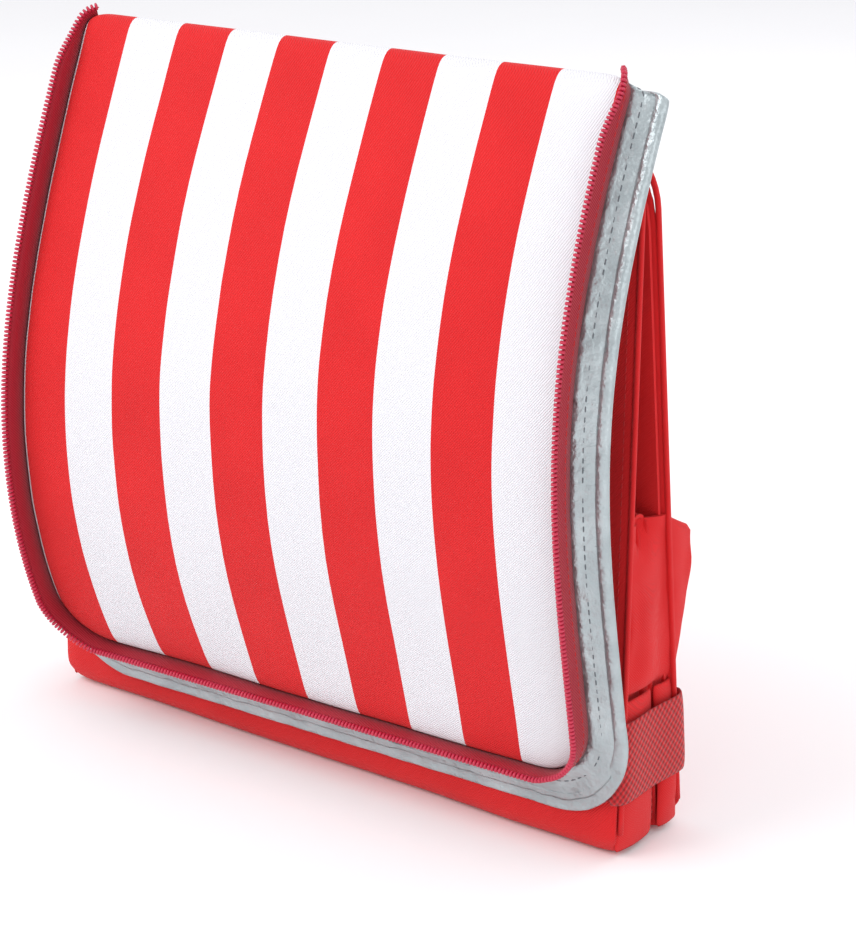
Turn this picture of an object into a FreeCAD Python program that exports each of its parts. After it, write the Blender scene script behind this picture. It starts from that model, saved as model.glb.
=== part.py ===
"""Foldable insulated cooler bag, folded flat and standing on its folded floor.

The striped lid hangs over the front wall from the pinched top. Behind it the front and rear walls
lean together; between them lie the side gussets, folded inwards, and the floor, folded upwards.

Axes: X across the bag, +Y to the rear, +Z up. The origin is on the floor plane, midway across the
bag and midway between its front and rear edges, where the front floor fold rests.
"""
import FreeCAD, Part
import os
import re

import Sketcher
from FreeCAD import Placement, Rotation, Vector

# Driving dimensions in millimetres: one spreadsheet row each, named by its alias.
SIZES = {
    "bag_width": 330.0,        # body, across
    "rim_height": 306.0,       # top edge of the front and rear walls above the floor
    "open_depth": 300.0,       # front to back when the bag is unfolded
    "base_depth": 50.0,        # front to back over the two floor folds, folded
    "rim_depth": 11.4,         # front to back over the pinched top edges, folded
    "front_lean": 5.0,         # how far the front wall's top lies behind its foot
    "corner_round": 32.0,      # top corners of the walls and gussets
    "cover_thick": 0.7,        # outer twill
    "foam_thick": 2.2,         # wall insulation
    "lining_thick": 0.5,       # foil
    "gusset_thick": 1.8,       # side panel laminate
    "floor_thick": 3.4,        # floor laminate
    "floor_gap": 3.0,          # between the two floor folds
    "crease_offset": 6.0,      # middle of that gap, behind the origin, at the floor
    "floor_rise": 16.0,        # height of the fold's outer leg, where the wall begins
    "fold_radius": 3.0,        # outer edges of the floor folds
    "fold_clear": 3.0,         # gusset and facet, clear of the floor fold's inner side
    "gusset_drop": 2.0,        # top of the gussets, below the rim
    "facet_clear": 2.0,        # facet, inside the gusset's corner crease
    "ply_gap": 0.3,            # between fabric layers that only lie on each other
    "edge_inset": 1.0,         # gusset fold, inside the wall's side edge
    "webbing_width": 38.0,
    "webbing_thick": 1.8,
    "band_height": 27.0,       # lower edge of the closing band
    "glide_length": 28.0,      # tri-glide, along the webbing
    "glide_bar": 4.0,
    "glide_thick": 2.4,
    "glide_place": 70.0,       # from the bag's middle
    "lid_width": 296.0,        # striped panel
    "lid_bulge": 31.0,         # how far the lid arches away from its straight length
    "lid_corner": 42.0,
    "lid_foam": 4.4,
    "lid_foot_z": 43.0,        # lower end of the lid's outer face, above the floor
    "lid_clear": 1.5,          # lid's lower piping, in front of the closing band
    "lid_top_rise": 28.0,      # upper end of the lid, above the rim
    "lid_top_stand": 10.5,     # upper end of the lid, in front of the hinge line
    "tape_thick": 1.2,
    "tape_stand": 10.0,        # how far the lid's zip tape stands off the panel
    "coil_width": 2.6,
    "coil_height": 3.4,
    "piping_width": 5.0,
    "piping_depth": 4.6,
    "piping_stand": 3.0,       # edge of the foil lining, outside the striped panel
    "piping_lap": 1.6,         # how far the piping lies over that edge
    "zip_end": 115.0,          # the lid's zip stops this far from the middle
    "hinge_width": 200.0,      # bunched hinge fabric at the top
    "hinge_back": 11.5,        # the line that the lid turns about, behind the front rim
    "hinge_rise": 25.0,        # and above it
    "hinge_roll": 4.1,
    "hinge_seat": 0.6,         # front of the hinge fabric's foot, inside the front face
    "rim_tape": 11.0,          # body's zip tape, down from the rim
    "rim_tape_thick": 0.8,
    "rim_coil_thick": 1.6,
    "slider_place": 100.0,     # from the middle
    "slider_drop": 28.0,       # lower end of the sliders, below the rim
    "slider_long": 13.0,
    "slider_wide": 9.0,
    "slider_thick": 4.6,
    "pull_long": 34.0,
    "pull_wide": 6.5,
    "pull_thick": 1.6,
    "pull_pivot": 0.5,         # pull's turning line, below its top edge
    "pull_lap": 5.0,           # how far the pull's top lies over its slider
}

doc = FreeCAD.newDocument("cooler_bag")
sheet = doc.addObject("Spreadsheet::Sheet", "Sizes")
for row, (alias, size) in enumerate(SIZES.items(), start=1):
    sheet.set(f"A{row}", alias)
    sheet.set(f"B{row}", str(size))
    sheet.setAlias(f"B{row}", alias)
doc.recompute()

parts = []


def sized(expression):
    """Write the sheet's name in front of every alias in an expression."""
    return re.sub(r"[a-z_]+", lambda word: f"Sizes.{word[0]}" if word[0] in SIZES else word[0], expression)


def mm(expression):
    """A length for a Placement, which takes no plain number."""
    return f"( {sized(expression)} ) * 1 mm"


def value(expression):
    """The number that an expression in the sheet's aliases comes to."""
    result = sheet.evalExpression(sized(expression))
    return float(getattr(result, "Value", result))


def keep(piece, label):
    """Note a finished sub-part under the label that names its file."""
    piece.Label = label
    parts.append(piece)
    return piece


# Lines of the folded section, as expressions of the height above the floor.
REAR_LEAN = "( base_depth - rim_depth - front_lean )"
WALL = "( cover_thick + foam_thick + lining_thick )"
GUSSET_DEPTH = f"( {WALL} + ply_gap )"


def front_face(height):
    """Y of the front wall's outer face at a height."""
    return f"( -1 * base_depth / 2 + front_lean * ( {height} ) / rim_height )"


def rear_face(height):
    """Y of the rear wall's outer face at a height."""
    return f"( base_depth / 2 - {REAR_LEAN} * ( {height} ) / rim_height )"


def middle(height):
    """Y of the plane midway between the two walls at a height."""
    return f"( ( {front_face(height)} + {rear_face(height)} ) / 2 )"


def crease_plane(height):
    """Y of the plane between the two halves of the floor at a height."""
    crease = "( open_depth / 2 )"
    return f"( crease_offset + ( {middle(crease)} - crease_offset ) * ( {height} ) / {crease} )"


def new_body(label):
    """An empty PartDesign body that becomes a sub-part."""
    return keep(doc.addObject("PartDesign::Body", label), label)


def outline(body, plane_role, corners):
    """A closed polygon on one of the body's own planes, every corner placed from the sheet."""
    sketch = body.newObject("Sketcher::SketchObject", f"{body.Name}_outline")
    planes = [feature for feature in body.Origin.OriginFeatures if feature.Role == plane_role]
    sketch.AttachmentSupport = (planes[0], "")
    sketch.MapMode = "FlatFace"
    points = [Vector(value(across), value(up), 0) for across, up in corners]
    for index, point in enumerate(points):
        sketch.addGeometry(Part.LineSegment(point, points[(index + 1) % len(points)]), False)
    for index in range(len(points)):
        sketch.addConstraint(Sketcher.Constraint("Coincident", index, 2, (index + 1) % len(points), 1))
    for index, (across, up) in enumerate(corners):
        for kind, expression, start in (("DistanceX", across, points[index].x), ("DistanceY", up, points[index].y)):
            place = sketch.addConstraint(Sketcher.Constraint(kind, -1, 1, index, 1, start))
            sketch.setExpression(f"Constraints[{place}]", sized(expression))
    return sketch


def padded_outline(body, sketch, length):
    """Pad a sketch equally to both sides of its plane."""
    pad = body.newObject("PartDesign::Pad", f"{body.Name}_pad")
    pad.Profile = sketch
    pad.Midplane = True
    pad.setExpression("Length", sized(length))
    doc.recompute()
    return pad


def rounded(body, feature, radius, chosen):
    """Fillet the feature's edges that the test picks."""
    names = [f"Edge{index}" for index, edge in enumerate(feature.Shape.Edges, start=1) if chosen(edge)]
    fillet = body.newObject("PartDesign::Fillet", f"{body.Name}_round")
    fillet.Base = (feature, names)
    fillet.setExpression("Radius", sized(radius))
    doc.recompute()
    return fillet


def runs_along(edge, axis):
    """Whether an edge is straight and lies along an axis."""
    if not isinstance(edge.Curve, Part.Line):
        return False
    return abs(edge.tangentAt(edge.FirstParameter).dot(axis)) > 0.99


def across_bag(label, corners, width="bag_width"):
    """A piece of one section in Y and Z, the same all the way across the bag."""
    body = new_body(label)
    sketch = outline(body, "YZ_Plane", corners)
    return body, padded_outline(body, sketch, width)


def lean_plane(label, corners, face, sign, depth, thickness):
    """A flat panel laid parallel to a wall at a depth below its face, its corners given as X and height."""
    lean = "front_lean" if sign > 0 else REAR_LEAN
    stretched = [(across, f"( {height} ) / cos( atan( {lean} / rim_height ) )") for across, height in corners]
    body = new_body(label)
    sketch = outline(body, "XZ_Plane", stretched)
    pad = padded_outline(body, sketch, thickness)
    doc.recompute()
    body.Placement = Placement(Vector(0, 0, 0), Rotation(Vector(1, 0, 0), -sign))
    body.setExpression("Placement.Rotation.Angle", sized(f"-1 * {sign} * atan( {lean} / rim_height )"))
    inward = f"( {depth} + ( {thickness} ) / 2 ) / cos( atan( {lean} / rim_height ) )"
    body.setExpression("Placement.Base.y", mm(f"{face('0')} + {sign} * {inward}"))
    doc.recompute()
    return body, pad


def wall_layer(label, face, sign, depth, thickness):
    """One layer of a wall, at a depth below its outer face, with rounded top corners."""
    half = "bag_width / 2"
    foot = "floor_rise + 2 * ply_gap"
    corners = [(f"-1 * {half}", foot), (half, foot), (half, "rim_height"), (f"-1 * {half}", "rim_height")]
    body, pad = lean_plane(label, corners, face, sign, depth, thickness)
    top = value("rim_height") - 1

    def is_top_corner(edge):
        return runs_along(edge, Vector(0, 1, 0)) and edge.CenterOfMass.z > top

    rounded(body, pad, "corner_round", is_top_corner)


def wall(side, face, sign):
    """Cover, foam and lining of the front or rear wall."""
    wall_layer(f"{side}_wall_cover", face, sign, "0", "cover_thick")
    wall_layer(f"{side}_wall_foam", face, sign, "cover_thick", "foam_thick")
    wall_layer(f"{side}_wall_lining", face, sign, "cover_thick + foam_thick", "lining_thick")


def floor_half(side, face, sign):
    """Half of the floor: it turns under the wall and rises inside to the floor's middle crease."""
    crease = "( open_depth / 2 )"
    corners = [
        (face("floor_rise"), "floor_rise"),
        (face("0"), "0"),
        (f"crease_offset - {sign} * floor_gap / 2", "0"),
        (f"{middle(crease)} - {sign} * floor_gap / 2", crease),
        (f"{middle(crease)} - {sign} * ( floor_gap / 2 + floor_thick )", crease),
        (f"crease_offset - {sign} * ( floor_gap / 2 + floor_thick )", "floor_thick"),
        (f"{face('0')} + {sign} * {WALL}", "floor_thick"),
        (f"{face('floor_rise')} + {sign} * {WALL}", "floor_rise"),
    ]
    body, pad = across_bag(f"{side}_floor_half", corners)

    def is_foot(edge):
        return runs_along(edge, Vector(1, 0, 0)) and abs(edge.CenterOfMass.z) < 0.01

    rounded(body, pad, "fold_radius", is_foot)


def gusset(side, hand, face, sign):
    """Half of a side gusset, above its corner crease, folded in against the wall."""
    edge = f"{hand} * ( bag_width / 2 - edge_inset )"
    start = f"{hand} * ( bag_width / 2 - floor_thick - fold_clear )"
    inner = f"{hand} * ( bag_width / 2 - open_depth / 2 )"
    foot = "floor_thick + fold_clear"
    top = "( rim_height - gusset_drop )"
    corners = [
        (edge, foot),
        (start, foot),
        (inner, "open_depth / 2"),
        (inner, top),
        (f"{hand} * ( bag_width / 2 - corner_round )", top),
        (edge, f"{top} - corner_round"),
    ]
    name = "right" if hand > 0 else "left"
    lean_plane(f"{side}_gusset_{name}", corners, face, sign, GUSSET_DEPTH, "gusset_thick")


def facet(side, hand, face, sign):
    """Corner triangle between gusset and floor, turned back on the gusset."""
    edge = f"{hand} * ( bag_width / 2 - edge_inset )"
    foot = "floor_thick + fold_clear"
    top = "open_depth / 2 - facet_clear"
    corners = [
        (edge, foot),
        (f"{hand} * ( bag_width / 2 - floor_thick - fold_clear )", foot),
        (f"{hand} * ( bag_width / 2 - open_depth / 2 + facet_clear )", top),
        (edge, top),
    ]
    name = "right" if hand > 0 else "left"
    depth = f"{GUSSET_DEPTH} + gusset_thick + ply_gap"
    lean_plane(f"{side}_facet_{name}", corners, face, sign, depth, "gusset_thick")


HALVES = (("front", front_face, 1), ("rear", rear_face, -1))
for side, face, sign in HALVES:
    wall(side, face, sign)
    floor_half(side, face, sign)
    for hand in (1, -1):
        gusset(side, hand, face, sign)
        facet(side, hand, face, sign)


# Closing band: one loop of webbing round the folded bag, drawn as its four straight runs.
def band_run(side, face, sign):
    """The band's run along the front or the rear wall."""
    low = "band_height"
    high = "band_height + webbing_width"
    corners = [
        (f"{face(low)} - {sign} * ply_gap", low),
        (f"{face(low)} - {sign} * ( ply_gap + webbing_thick )", low),
        (f"{face(high)} - {sign} * ( ply_gap + webbing_thick )", high),
        (f"{face(high)} - {sign} * ply_gap", high),
    ]
    across_bag(f"band_{side}_run", corners)


def band_side(hand):
    """The band's run across one side, from the front wall to the rear wall."""
    low = "band_height"
    high = "band_height + webbing_width"
    body = new_body("band_side_right" if hand > 0 else "band_side_left")
    corners = [
        (front_face(low), low),
        (f"{rear_face(low)} - webbing_thick", low),
        (f"{rear_face(high)} - webbing_thick", high),
        (front_face(high), high),
    ]
    sketch = outline(body, "YZ_Plane", corners)
    padded_outline(body, sketch, "webbing_thick")
    body.setExpression("Placement.Base.x", mm(f"{hand} * ( bag_width / 2 + ply_gap + webbing_thick / 2 )"))


def side_webbing(hand):
    """Vertical webbing on the side's centre line, between the two floor folds."""
    body = new_body("side_webbing_right" if hand > 0 else "side_webbing_left")
    low = "fold_radius + 1"
    high = "band_height + webbing_width"
    corners = [
        (f"{crease_plane(low)} - webbing_thick / 2", low),
        (f"{crease_plane(low)} + webbing_thick / 2", low),
        (f"{crease_plane(high)} + webbing_thick / 2", high),
        (f"{crease_plane(high)} - webbing_thick / 2", high),
    ]
    sketch = outline(body, "YZ_Plane", corners)
    padded_outline(body, sketch, "webbing_width")
    place = f"{hand} * ( bag_width / 2 - edge_inset - webbing_width / 2 )"
    body.setExpression("Placement.Base.x", mm(place))


for side, face, sign in HALVES:
    band_run(side, face, sign)
for hand in (1, -1):
    band_side(hand)
    side_webbing(hand)


def box(label, length, width, height, place=None):
    """A Part box centred on its own X and Y middle, its sizes and place from the sheet."""
    piece = doc.addObject("Part::Box", label)
    for name, size in (("Length", length), ("Width", width), ("Height", height)):
        piece.setExpression(name, sized(size))
    at = place or ("0", "0", "0")
    shifts = (f"{at[0]} - ( {length} ) / 2", f"{at[1]} - ( {width} ) / 2", at[2])
    for axis, shift in zip("xyz", shifts):
        piece.setExpression(f"Placement.Base.{axis}", mm(shift))
    return piece


def joined(kind, label, base, tool):
    """A boolean of two objects: kind is Cut, Common or Fuse."""
    result = doc.addObject(f"Part::{kind}", label)
    result.Base = base
    result.Tool = tool
    return result


def lay_on_rear(piece, place_x, up, out):
    """Set a piece on the rear wall's plane: its own +Y faces out, its own +Z runs up the wall."""
    lean = f"atan( {REAR_LEAN} / rim_height )"
    piece.Placement = Placement(Vector(0, 0, 0), Rotation(Vector(1, 0, 0), 1))
    piece.setExpression("Placement.Rotation.Angle", sized(lean))
    piece.setExpression("Placement.Base.x", mm(place_x))
    along = f"( {up} )"
    rise = f"{along} * cos( {lean} ) + ( {out} ) * sin( {lean} )"
    back = f"base_depth / 2 - {along} * sin( {lean} ) + ( {out} ) * cos( {lean} )"
    piece.setExpression("Placement.Base.y", mm(back))
    piece.setExpression("Placement.Base.z", mm(rise))
    return piece


# Tri-glide on the band's rear run: a frame with two slots, the webbing over its middle bar.
glide_height = "( webbing_width + 2 * glide_bar )"
slot_length = "( ( glide_length - 3 * glide_bar ) / 2 )"
glide = box("glide_plate", "glide_length", "glide_thick", glide_height)
for step, shift in (("first", 1), ("second", -1)):
    place = (f"{shift} * ( glide_bar + {slot_length} ) / 2", "0", "glide_bar")
    slot = box(f"glide_slot_{step}", slot_length, "glide_thick * 2", "webbing_width", place)
    glide = joined("Cut", f"glide_{step}_cut", glide, slot)
glide_out = "( ply_gap * 2 + webbing_thick + glide_thick / 2 )"
lay_on_rear(keep(glide, "band_tri_glide"), "glide_place", "band_height - glide_bar", glide_out)


# Zip sliders parked at the ends of the zip, high on the rear wall, with their pulls hanging down.
slider_up = "( rim_height - slider_drop )"
slider_out = "( ply_gap * 2 + tape_thick + slider_thick / 2 )"
strip_length = "( bag_width / 2 - corner_round - slider_place + slider_wide )"
tape_strips = []
for hand in (1, -1):
    name = "right" if hand > 0 else "left"
    strip = box(f"tape_strip_{name}", strip_length, "tape_thick", "rim_tape")
    strip_start = f"{hand} * ( bag_width / 2 - corner_round + slider_place - slider_wide ) / 2 - {strip_length} / 2"
    tape_strips.append(lay_on_rear(strip, strip_start, slider_up, "ply_gap"))

    slider = box(f"slider_block_{name}", "slider_wide", "slider_thick", "slider_long")
    notch = box(f"slider_notch_{name}", "slider_wide / 2", "slider_thick * 0.5", "slider_long / 2",
                ("0", "slider_thick / 2", "slider_long / 4"))
    body = keep(joined("Cut", f"zip_slider_{name}", slider, notch), f"zip_slider_{name}")
    lay_on_rear(body, f"{hand} * slider_place", slider_up, slider_out)

doc.recompute()
keep(joined("Fuse", "rear_zip_tape", *tape_strips), "rear_zip_tape")


def slider_pull(hand):
    """A flat pull with a rounded top eye, hanging from its slider."""
    body = new_body("slider_pull_right" if hand > 0 else "slider_pull_left")
    corners = [
        ("-1 * pull_wide / 2", "pull_pivot - pull_long"),
        ("pull_wide / 2", "pull_pivot - pull_long"),
        ("pull_wide / 2", "pull_pivot"),
        ("-1 * pull_wide / 2", "pull_pivot"),
    ]
    sketch = outline(body, "XZ_Plane", corners)
    pad = padded_outline(body, sketch, "pull_thick")

    def is_corner(edge):
        return runs_along(edge, Vector(0, 1, 0))

    rounded(body, pad, "pull_wide * 0.35", is_corner)
    out = "( ply_gap * 3 + tape_thick + slider_thick + pull_thick / 2 )"
    lay_on_rear(body, f"{hand} * slider_place", f"{slider_up} + pull_lap - pull_pivot", out)


for hand in (1, -1):
    slider_pull(hand)


# Body's half of the zip, along the front wall's rim.
def rim_strip(label, low, high, outer, inner, width):
    """A strip on the front wall's outer face, below the rim."""
    corners = [
        (f"{front_face(low)} - ( {outer} )", low),
        (f"{front_face(low)} - ( {inner} )", low),
        (f"{front_face(high)} - ( {inner} )", high),
        (f"{front_face(high)} - ( {outer} )", high),
    ]
    across_bag(label, corners, width)


rim_width = "( bag_width - 2 * corner_round )"
tape_low = "rim_height - rim_tape"
rim_strip("front_zip_tape", tape_low, "rim_height", "rim_tape_thick", "0", rim_width)
rim_strip("front_zip_coil", f"{tape_low} - coil_width", f"{tape_low} - ply_gap / 3", "rim_coil_thick", "0", rim_width)

# Bunched hinge fabric at the top, standing on the front wall's rim; the lid turns about its roll.
RIM_FRONT = front_face("rim_height")
HINGE_Y = f"( {RIM_FRONT} + hinge_back )"
HINGE_Z = "( rim_height + hinge_rise )"
hinge_foot = "rim_height + ply_gap / 3"
across_bag("lid_hinge_fold", [
    (f"{RIM_FRONT} + hinge_seat", hinge_foot),
    (f"{RIM_FRONT} + {WALL} + hinge_roll * 0.34", hinge_foot),
    (f"{RIM_FRONT} + {WALL} + hinge_roll * 1.2", "rim_height + hinge_rise * 0.24"),
    (f"{HINGE_Y} + hinge_roll * 0.7", f"{HINGE_Z} - hinge_roll"),
    (f"{HINGE_Y} + hinge_roll", HINGE_Z),
    (f"{HINGE_Y} + hinge_roll * 0.5", f"{HINGE_Z} + hinge_roll * 0.85"),
    (f"{HINGE_Y} - hinge_roll * 0.3", f"{HINGE_Z} + hinge_roll * 0.95"),
    (f"{HINGE_Y} - hinge_roll * 0.8", f"{HINGE_Z} + hinge_roll * 0.6"),
    (f"{HINGE_Y} - hinge_roll", HINGE_Z),
    (f"{RIM_FRONT} + {WALL}", f"{HINGE_Z} - hinge_roll * 2.7"),
], "hinge_width")

# Lid: every layer is part of a round shell about one line, cut to a rounded rectangle.
lid_inside = "( cover_thick + lid_foam )"
LID_RISE = "( rim_height + lid_top_rise - lid_foot_z )"
FOOT_SLOPE = f"asin( {LID_RISE} / 2 / ( {LID_RISE} * {LID_RISE} / ( 8 * lid_bulge ) + lid_bulge / 2 ) )"
PIPING_REACH = "( piping_stand - piping_lap + piping_width )"
LID_DEPTH = f"( {lid_inside} + lining_thick + piping_depth )"
BAND_FRONT = f"( {front_face('lid_foot_z')} - ply_gap - webbing_thick )"
LID_FOOT_Y = (f"( {BAND_FRONT} - lid_clear - {PIPING_REACH} * tan( {FOOT_SLOPE} )"
              f" - {LID_DEPTH} / cos( {FOOT_SLOPE} ) )")
LID_LEAN = f"( {HINGE_Y} - lid_top_stand - {LID_FOOT_Y} )"
LID_CHORD = f"sqrt( {LID_RISE} * {LID_RISE} + {LID_LEAN} * {LID_LEAN} )"
LID_RADIUS = f"( {LID_CHORD} * {LID_CHORD} / ( 8 * lid_bulge ) + lid_bulge / 2 )"
REACH = "( lid_bulge * 4 )"


def shell(label, outer, inner):
    """The part of a pipe about the lid's axis between two heights over its outer face."""
    pair = []
    for name, height in (("outer", outer), ("inner", inner)):
        rod = doc.addObject("Part::Cylinder", f"{label}_{name}")
        rod.setExpression("Radius", sized(f"{LID_RADIUS} + ( {height} )"))
        rod.setExpression("Height", sized("bag_width * 2"))
        rod.Placement = Placement(Vector(0, 0, 0), Rotation(Vector(0, 1, 0), 90))
        rod.setExpression("Placement.Base.x", mm("-1 * bag_width"))
        rod.setExpression("Placement.Base.y", mm(f"{LID_RADIUS} - lid_bulge"))
        rod.setExpression("Placement.Base.z", mm(f"{LID_CHORD} / 2"))
        pair.append(rod)
    return joined("Cut", f"{label}_shell", *pair)


def lid_prism(label, grow):
    """The lid's rounded rectangle, grown by some margin, as a prism along Y."""
    body = doc.addObject("PartDesign::Body", f"{label}_prism")
    half = f"( lid_width / 2 + {grow} )"
    corners = [
        (f"-1 * {half}", f"-1 * ( {grow} )"),
        (half, f"-1 * ( {grow} )"),
        (half, f"{LID_CHORD} + {grow}"),
        (f"-1 * {half}", f"{LID_CHORD} + {grow}"),
    ]
    sketch = outline(body, "XZ_Plane", corners)
    pad = padded_outline(body, sketch, REACH)

    def is_corner(edge):
        return runs_along(edge, Vector(0, 1, 0))

    rounded(body, pad, f"lid_corner + {grow}", is_corner)
    return body


def place_lid(piece, label):
    """Set a lid piece, drawn with its chord upright, in its hanging place."""
    piece.Placement = Placement(Vector(0, 0, 0), Rotation(Vector(1, 0, 0), -1))
    piece.setExpression("Placement.Rotation.Angle", sized(f"-1 * asin( {LID_LEAN} / {LID_CHORD} )"))
    piece.setExpression("Placement.Base.y", mm(LID_FOOT_Y))
    piece.setExpression("Placement.Base.z", mm("lid_foot_z"))
    keep(piece, label)


def lid_sheet(label, outer, inner, grow):
    """A layer of the lid over its whole outline."""
    return joined("Common", f"{label}_sheet", shell(label, outer, inner), lid_prism(label, grow))


def lid_ring(label, outer, inner, grow, width):
    """A strip round the lid's edge, left open along the hinge where the zip stops."""
    frame = joined("Cut", f"{label}_frame", lid_prism(f"{label}_out", f"( {grow} + {width} )"),
                   lid_prism(f"{label}_in", f"( {grow} )"))
    ring = joined("Common", f"{label}_whole", shell(label, outer, inner), frame)
    mouth = box(f"{label}_mouth", "zip_end * 2", f"{REACH} * 2", "lid_corner * 2",
                ("0", "0", f"{LID_CHORD} - lid_corner"))
    return joined("Cut", f"{label}_ring", ring, mouth)


place_lid(lid_sheet("lid_outer_panel", "0", "-1 * cover_thick", "0"), "lid_outer_panel")
place_lid(lid_sheet("lid_foam", "-1 * cover_thick", f"-1 * {lid_inside}", "0"), "lid_foam")
place_lid(lid_sheet("lid_foil_lining", f"-1 * {lid_inside}", f"-1 * ( {lid_inside} + lining_thick )", "piping_stand"),
          "lid_foil_lining")
place_lid(lid_ring("lid_foil_piping", f"-1 * ( {lid_inside} + lining_thick )",
                   f"-1 * {LID_DEPTH}", "piping_stand - piping_lap", "piping_width"),
          "lid_foil_piping")
place_lid(lid_ring("lid_zip_tape", "tape_stand", f"-1 * {lid_inside}", "0", "tape_thick"), "lid_zip_tape")
place_lid(lid_ring("lid_zip_coil", "tape_stand + coil_height", "tape_stand", "( tape_thick - coil_width ) / 2",
                   "coil_width"), "lid_zip_coil")

doc.recompute()


def check_and_write():
    """Refuse a failed object or a bad shape, then write one STEP file for each sub-part."""
    failed = [item.Label for item in doc.Objects if {"Invalid", "Error"} & set(item.State)]
    if failed:
        raise RuntimeError(f"failed objects: {failed}")
    for piece in parts:
        if piece.Shape.isNull() or not piece.Shape.isValid() or not piece.Shape.Solids:
            raise RuntimeError(f"bad shape: {piece.Label}")
    os.makedirs("parts", exist_ok=True)
    for piece in parts:
        piece.Shape.exportStep(f"parts/{piece.Label}.step")
        bounds = piece.Shape.BoundBox
        print(f"{piece.Label:22s} solids {len(piece.Shape.Solids)} x {bounds.XMin:8.2f}..{bounds.XMax:7.2f}"
              f" y {bounds.YMin:7.2f}..{bounds.YMax:7.2f} z {bounds.ZMin:7.2f}..{bounds.ZMax:7.2f}")


check_and_write()
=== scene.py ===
"""Foldable insulated cooler bag, folded flat: cloth, foil, zips, webbing and the studio round it."""
import logging
import math
from collections.abc import Callable, Iterable, Sequence
from dataclasses import dataclass, field
from enum import Enum

import bmesh
import bpy
from mathutils import Matrix, Vector, noise


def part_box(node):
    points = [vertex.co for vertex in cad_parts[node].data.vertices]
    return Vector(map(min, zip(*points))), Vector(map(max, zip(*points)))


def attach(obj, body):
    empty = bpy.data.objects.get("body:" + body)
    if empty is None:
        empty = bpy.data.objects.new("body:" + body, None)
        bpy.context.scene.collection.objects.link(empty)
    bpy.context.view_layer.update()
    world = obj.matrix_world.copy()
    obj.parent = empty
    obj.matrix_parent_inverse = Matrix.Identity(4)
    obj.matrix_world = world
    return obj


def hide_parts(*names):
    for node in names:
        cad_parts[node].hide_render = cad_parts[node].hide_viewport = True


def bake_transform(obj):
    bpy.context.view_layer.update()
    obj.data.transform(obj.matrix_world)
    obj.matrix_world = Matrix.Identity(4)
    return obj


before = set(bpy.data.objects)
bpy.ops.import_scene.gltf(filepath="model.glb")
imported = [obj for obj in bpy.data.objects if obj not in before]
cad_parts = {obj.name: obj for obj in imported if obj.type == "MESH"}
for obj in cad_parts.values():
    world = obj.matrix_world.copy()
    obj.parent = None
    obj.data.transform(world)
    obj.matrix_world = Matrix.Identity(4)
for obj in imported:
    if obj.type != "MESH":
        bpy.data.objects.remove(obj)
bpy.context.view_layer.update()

MM = 0.001
log = logging.getLogger("cooler_bag")
Grid = list[list[Vector]]
Sample = tuple[float, float, float, float]  # X and height in the lid's pattern, then the direction outwards
Rail = list[tuple[Vector, Vector]]          # points, each with the direction out of the surface
SHARP = math.radians(60)


class Named(Enum):
    """Options whose names are used in the names of pieces and bodies."""

    @property
    def word(self) -> str:
        """Name in small letters."""
        return self.name.lower()


class Side(Named):
    """The two sides of the bag, as the sign of X."""
    RIGHT = 1
    LEFT = -1


class Wall(Named):
    """The two walls of the bag, as the sign of Y from the outer face inwards."""
    FRONT = 1
    REAR = -1

    @property
    def body(self) -> str:
        """Moving body that the wall belongs to."""
        return f"{self.word}_half"


class Facing(Enum):
    """Where the items of a rail turn their tops."""
    OFF_THE_FACE = 0
    PAST_THE_EDGE = 1


# ---------------------------------------------------------------- colour and node helpers

def linear(code: str) -> tuple[float, float, float, float]:
    """Turn an sRGB hex colour into linear RGBA.

    Args:
        code: Six hex digits after a hash.

    Returns:
        Linear red, green, blue and full alpha.
    """
    parts = [int(code[index:index + 2], 16) / 255 for index in (1, 3, 5)]
    return (*[part / 12.92 if part <= 0.04045 else ((part + 0.055) / 1.055) ** 2.4 for part in parts], 1.0)


def node(tree: bpy.types.NodeTree, kind: str, inputs: dict | None = None,
         **settings: object) -> bpy.types.Node:
    """Add one node with its settings, values and links.

    Args:
        tree: Node tree that gets the node.
        kind: Blender's name of the node type.
        inputs: Input name or index to a plain value or to an output socket that feeds it.
        **settings: Properties of the node itself.

    Returns:
        The new node.
    """
    made = tree.nodes.new(kind)
    for name, setting in settings.items():
        setattr(made, name, setting)
    for key, given in (inputs or {}).items():
        socket = made.inputs[key]
        if isinstance(given, bpy.types.NodeSocket):
            tree.links.new(given, socket)
        else:
            socket.default_value = given
    return made


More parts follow.
